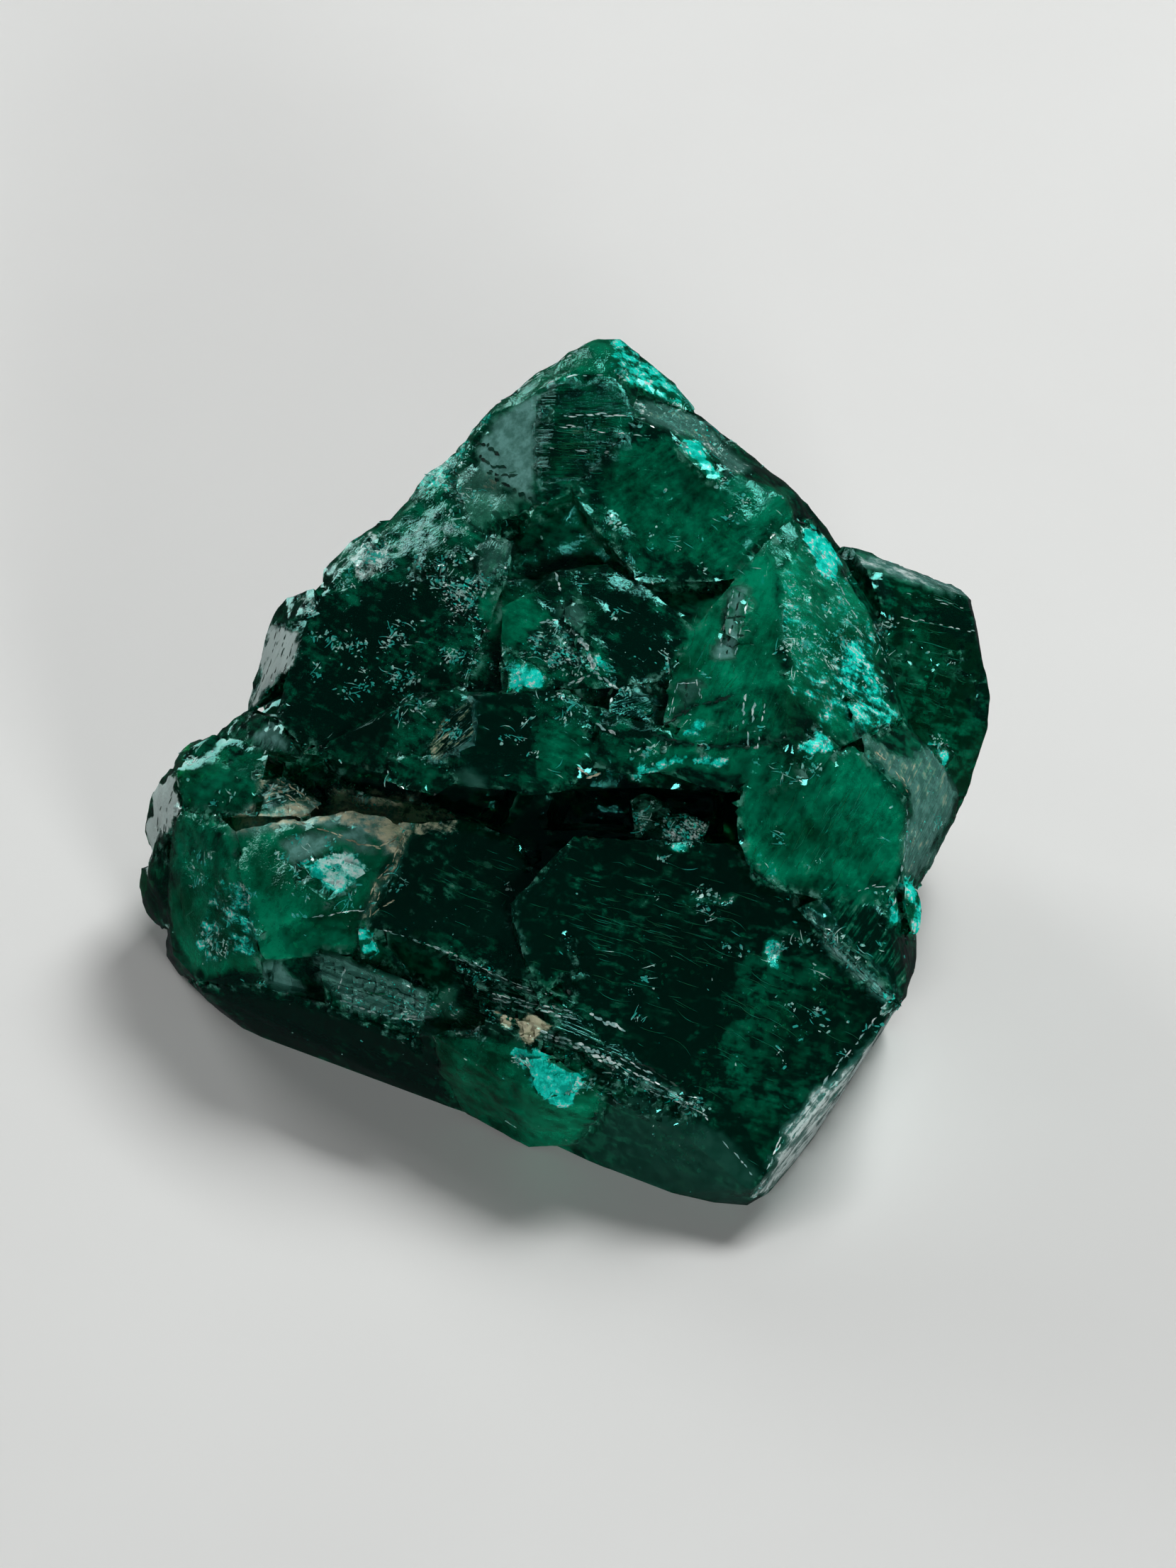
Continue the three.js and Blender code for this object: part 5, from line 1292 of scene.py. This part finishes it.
# The same kinds of settings for flakes, slivers and veils, and for the floor.
PALE_PATCH_SCALE = 1800
PALE_PATCHES = (0.48, 0.6)
PALE_GRAIN_SCALE = 2500
PALE_LEAST_DULL = 0.1
PALE_DULLED_BY = 0.3
FLOOR_PATCH_SCALE = 40
FLOOR_PATCHES = (0.2, 0.8)
FLOOR_ROUGHNESS = 0.6


def crystal_fields(n):
    """The noises and the mesh's attributes that the crystal's looks, colour and relief share."""
    mottle = n.noise(MOTTLE_SCALE, detail=5, roughness=0.68)
    streaks = n.streaks(*STREAKS, detail=5)
    ruling = n.times(n.centred(n.streaks(*RULING, detail=3), RULING_DEPTH), n.attribute("striated"))
    return dict(
        mottle=mottle,
        fine=n.noise(FINE_SCALE, detail=3),
        streaks=streaks,
        grain=n.weighed(*zip((mottle, streaks, n.noise(BROAD_SCALE, detail=2)), GRAIN_SHARES)),
        rough=n.attribute("rough"),
        ruling=ruling,
    )


def crystal_looks(n, fields):
    """How strongly each look shows at a point, broken into patches, and along striae, where it is weak."""
    mottle, rough = fields["mottle"], fields["rough"]
    uneven = n.centred(fields["grain"], UNEVENNESS)

    def patchy(look):
        total = n.plus(n.attribute(look), n.times(fields["ruling"], RULING_SHARE), uneven)
        return n.ramp(total, *SHOWS[look])

    # silver: a painted gleam of reflected light, weaker on rough ground
    silver = n.less(patchy("silver"), n.times(rough, SILVER_LOST), clamp=True)
    # sharp edges turn silver: partly wear, partly a painted highlight along them
    worn_and_highlit = n.times(n.ramp(n.attribute("edge"), *EDGE_WEAR_AND_HIGHLIGHT_FROM), n.ramp(mottle, *EDGE_WEAR_AND_HIGHLIGHT_PATCHES))
    sheen_share = n.plus(PAINTED_SHEEN_LEAST, n.times(n.ramp(mottle, *PAINTED_SHEEN_PATCHES), 1 - PAINTED_SHEEN_LEAST))
    return dict(
        emerald=patchy("emerald"),
        turquoise=patchy("turquoise"),
        # the painted sheen: an even grey in place of a reflection
        painted_sheen=n.times(n.attribute("painted_sheen"), sheen_share),
        silver=n.largest(silver, n.times(worn_and_highlit, EDGE_WEAR_AND_HIGHLIGHT_SHARE)),
        white=patchy("white"),
        tan=patchy("tan"),
        glints=n.glints(n.weighed(*((n.attribute(look), share) for look, share in GLINTS_CROWD))),
    )


def crystal_colour(n, fields, looks):
    """The body's green, with the other looks laid over it one after the other. The grey sheen, silver, glints
    and white are painted reflections and glints, and the turquoise is a painted glow.
    """
    mottle, painted_sheen, silver = fields["mottle"], looks["painted_sheen"], looks["silver"]

    def where(field, its_range, mottle_range):
        return n.times(n.ramp(field, *its_range), n.ramp(mottle, *mottle_range))

    clouds = n.noise(CLOUD_SCALE, detail=2)
    depth = n.weighed((fields["grain"], 1 - CLOUD_SHARE), (clouds, CLOUD_SHARE))
    body = n.mix(n.ramp(depth, *DEEP_TO_BRIGHT), DEEP_EMERALD, EMERALD)
    colour = n.mix(n.ramp(looks["emerald"], *CLEAR_TO_BODY), CLEAR, body)
    # the painted sheen and gleam: grey laid over the green
    colour = n.mix(n.largest(silver, painted_sheen), colour, n.mix(painted_sheen, SILVER, PAINTED_SHEEN_COLOUR))
    # the turquoise: a painted glow of light through thin edges, flecked with painted white glints
    flecked = n.mix(n.ramp(mottle, *DEEP_TO_FLECKED), DEEP_TURQUOISE, TURQUOISE)
    bright = where(fields["fine"], *WHITE_FLECKS)
    colour = n.mix(looks["turquoise"], colour, n.mix(bright, flecked, WHITE))
    # painted glints: white where the silver is strong, else silver or turquoise
    pale = where(n.attribute("silver"), *WHITE_GLINTS)
    sparkle = n.mix(n.ramp(fields["streaks"], *SILVER_TO_TURQUOISE), SILVER, TURQUOISE)
    colour = n.mix(looks["glints"], colour, n.mix(pale, sparkle, WHITE))
    # the white look: painted reflection
    colour = n.mix(looks["white"], colour, WHITE)
    return n.mix(looks["tan"], colour, TAN)


def crystal_clouds(n, looks):
    """How much of the crystal's clearness its looks take away."""
    return n.largest(*(n.times(looks[look], share) for look, share in CLOUDS.items()))


def crystal_bump(n, fields):
    """The relief that is too fine for the mesh."""
    rough = fields["rough"]
    height = n.plus(
        n.times(n.small_facets(SMALL_FACET_SCALE), n.plus(FACETS_EVERYWHERE, rough)),
        n.times(fields["fine"], n.plus(GRAINS_EVERYWHERE, n.times(rough, GRAINS_ON_ROUGH))),
        n.times(fields["ruling"], RULING_HEIGHT),
    )
    bump = n.add("Bump", Strength=BUMP_STRENGTH, Distance=BUMP_DISTANCE, Height=height)
    return bump.outputs["Normal"]


def crystal_material():
    """Clear green crystal that its looks make cloudy here and there, with painted reflections, glints and
    glow in its colour.
    """
    n = Nodes("dioptase")
    fields = crystal_fields(n)
    looks = crystal_looks(n, fields)
    clouded = crystal_clouds(n, looks)
    dulled = zip((fields["rough"], clouded, fields["mottle"]), DULLED_BY)
    n.shade(
        Base_Color=crystal_colour(n, fields, looks),
        Transmission_Weight=n.less(1.0 - FAINT_CLOUD, clouded, clamp=True),
        Roughness=n.plus(LEAST_DULL, *(n.times(field, share) for field, share in dulled)),
        IOR=DIOPTASE_IOR,
        Specular_Tint=GLINT,
        Normal=crystal_bump(n, fields),
    )
    absorb = n.add("VolumeAbsorption", Color=ABSORBED_COLOUR, Density=ABSORPTION)
    n.fill_all(n.tree.nodes["Material Output"], dict(Volume=absorb.outputs[0]))
    return n.material


def pale_material(name, light, dark, clear):
    """Flakes, slivers and sealed veils: a little see-through, and never one even colour."""
    n = Nodes(name)
    n.shade(
        Base_Color=n.mix(n.ramp(n.noise(PALE_PATCH_SCALE, detail=3), *PALE_PATCHES), dark, light),
        Roughness=n.plus(PALE_LEAST_DULL, n.times(n.noise(PALE_GRAIN_SCALE), PALE_DULLED_BY)),
        IOR=DIOPTASE_IOR,
        Transmission_Weight=clear,
    )
    return n.material


def floor_material():
    n = Nodes("pale_floor")
    shade = n.ramp(n.noise(FLOOR_PATCH_SCALE, detail=3), *FLOOR_PATCHES)
    n.shade(Base_Color=n.mix(shade, FLOOR_SHADED, FLOOR_PALE), Roughness=FLOOR_ROUGHNESS)
    return n.material


# ---------------- floor, light and camera

VIEW_DISTANCE = 0.6
FRAME_HEIGHT = 0.0632  # what the photograph's frame takes in, at the specimen
FRAME_MIDDLE = (0.99, -0.6)  # the middle of the frame on the front, (u, v) in mm
SENSOR_SIZE = 36  # along the frame's height, in mm
CLIP_RANGE = (0.01, 10)
FLOOR_REACH = 1.2
LAMP_COLOUR = (0.9, 1.0, 0.98)
LAMP_DISTANCE = 0.5
LAMP_TARGET = Vector((0, 0, 0.01))
# Square lamps: the name, the azimuth (0 is behind, 90 to the right) and the elevation in degrees, the
# width, and the glow in watts a square metre and steradian.
LAMPS = (
    ("key", -40, 20, 0.22, 6.0),
    ("front", 160, 20, 0.11, 25.0),
    ("high", 40, 56, 0.2, 13.0),
)
SURROUNDING_COLOUR = (0.9, 0.95, 1, 1)
SURROUNDING_STRENGTH = 0.03


def front_point(u, v, w):
    """A place in the front's frame, in mm, as a row-frame point in metres."""
    return Vector((FRONT_MIDDLE + np.array([u, v, w]) @ FRONT_AXES) * MM)


def build_floor():
    mesh = bpy.data.meshes.new("floor")
    corners = [(x * FLOOR_REACH, y * FLOOR_REACH, 0) for x, y in ((-1, -1), (1, -1), (1, 1), (-1, 1))]
    mesh.from_pydata(corners, [], [(0, 1, 2, 3)])
    floor = placed("floor", mesh)
    mesh.materials.append(floor_material())
    floor.visible_glossy = False  # the specimen's gloss shows only the lamps


def build_lamp(name, azimuth, elevation, size, glow):
    """A square lamp that faces the specimen."""
    lamp = bpy.data.lights.new(name, "AREA")
    lamp.shape = "SQUARE"
    lamp.size = size
    lamp.energy = glow * math.pi * size ** 2
    lamp.color = LAMP_COLOUR
    obj = placed(name, lamp)
    turn, rise = math.radians(azimuth), math.radians(elevation)
    flat = math.cos(rise) * LAMP_DISTANCE
    obj.location = (math.sin(turn) * flat, math.cos(turn) * flat, math.sin(rise) * LAMP_DISTANCE)
    obj.rotation_euler = (LAMP_TARGET - obj.location).to_track_quat("-Z", "Y").to_euler()


def build_light():
    world = bpy.data.worlds.new("studio")
    bpy.context.scene.world = world
    world.use_nodes = True
    background = world.node_tree.nodes["Background"]
    background.inputs["Color"].default_value = SURROUNDING_COLOUR
    background.inputs["Strength"].default_value = SURROUNDING_STRENGTH
    for lamp in LAMPS:
        build_lamp(*lamp)


def build_camera():
    """Straight in front of the specimen's broad front, as in the photograph."""
    data = bpy.data.cameras.new("camera")
    data.sensor_width = SENSOR_SIZE
    data.lens = data.sensor_width * VIEW_DISTANCE / FRAME_HEIGHT
    camera = placed("camera", data)
    middle = front_point(*FRAME_MIDDLE, 0)
    camera.location = middle + Vector(OUTWARD) * VIEW_DISTANCE
    camera.rotation_euler = Matrix([ACROSS, UPWARD, OUTWARD]).transposed().to_euler()
    data.clip_start, data.clip_end = CLIP_RANGE
    bpy.context.scene.camera = camera


def set_rendering():
    bpy.context.scene.view_settings.view_transform = "Standard"
    cycles = bpy.context.scene.cycles
    cycles.use_denoising = True
    cycles.adaptive_threshold = 0.03
    cycles.max_bounces = 6
    cycles.diffuse_bounces = 2
    cycles.transmission_bounces = 5
    cycles.glossy_bounces = 3
    cycles.volume_bounces = 0


crystals = build_crystals()
crystal_surface = surface_tree(crystals)
build_chips(crystal_surface, CAD_BOX)
build_trails(crystal_surface)
build_growth_lines(crystal_surface)
build_veils(crystal_surface)
build_floor()
build_light()
build_camera()
set_rendering()
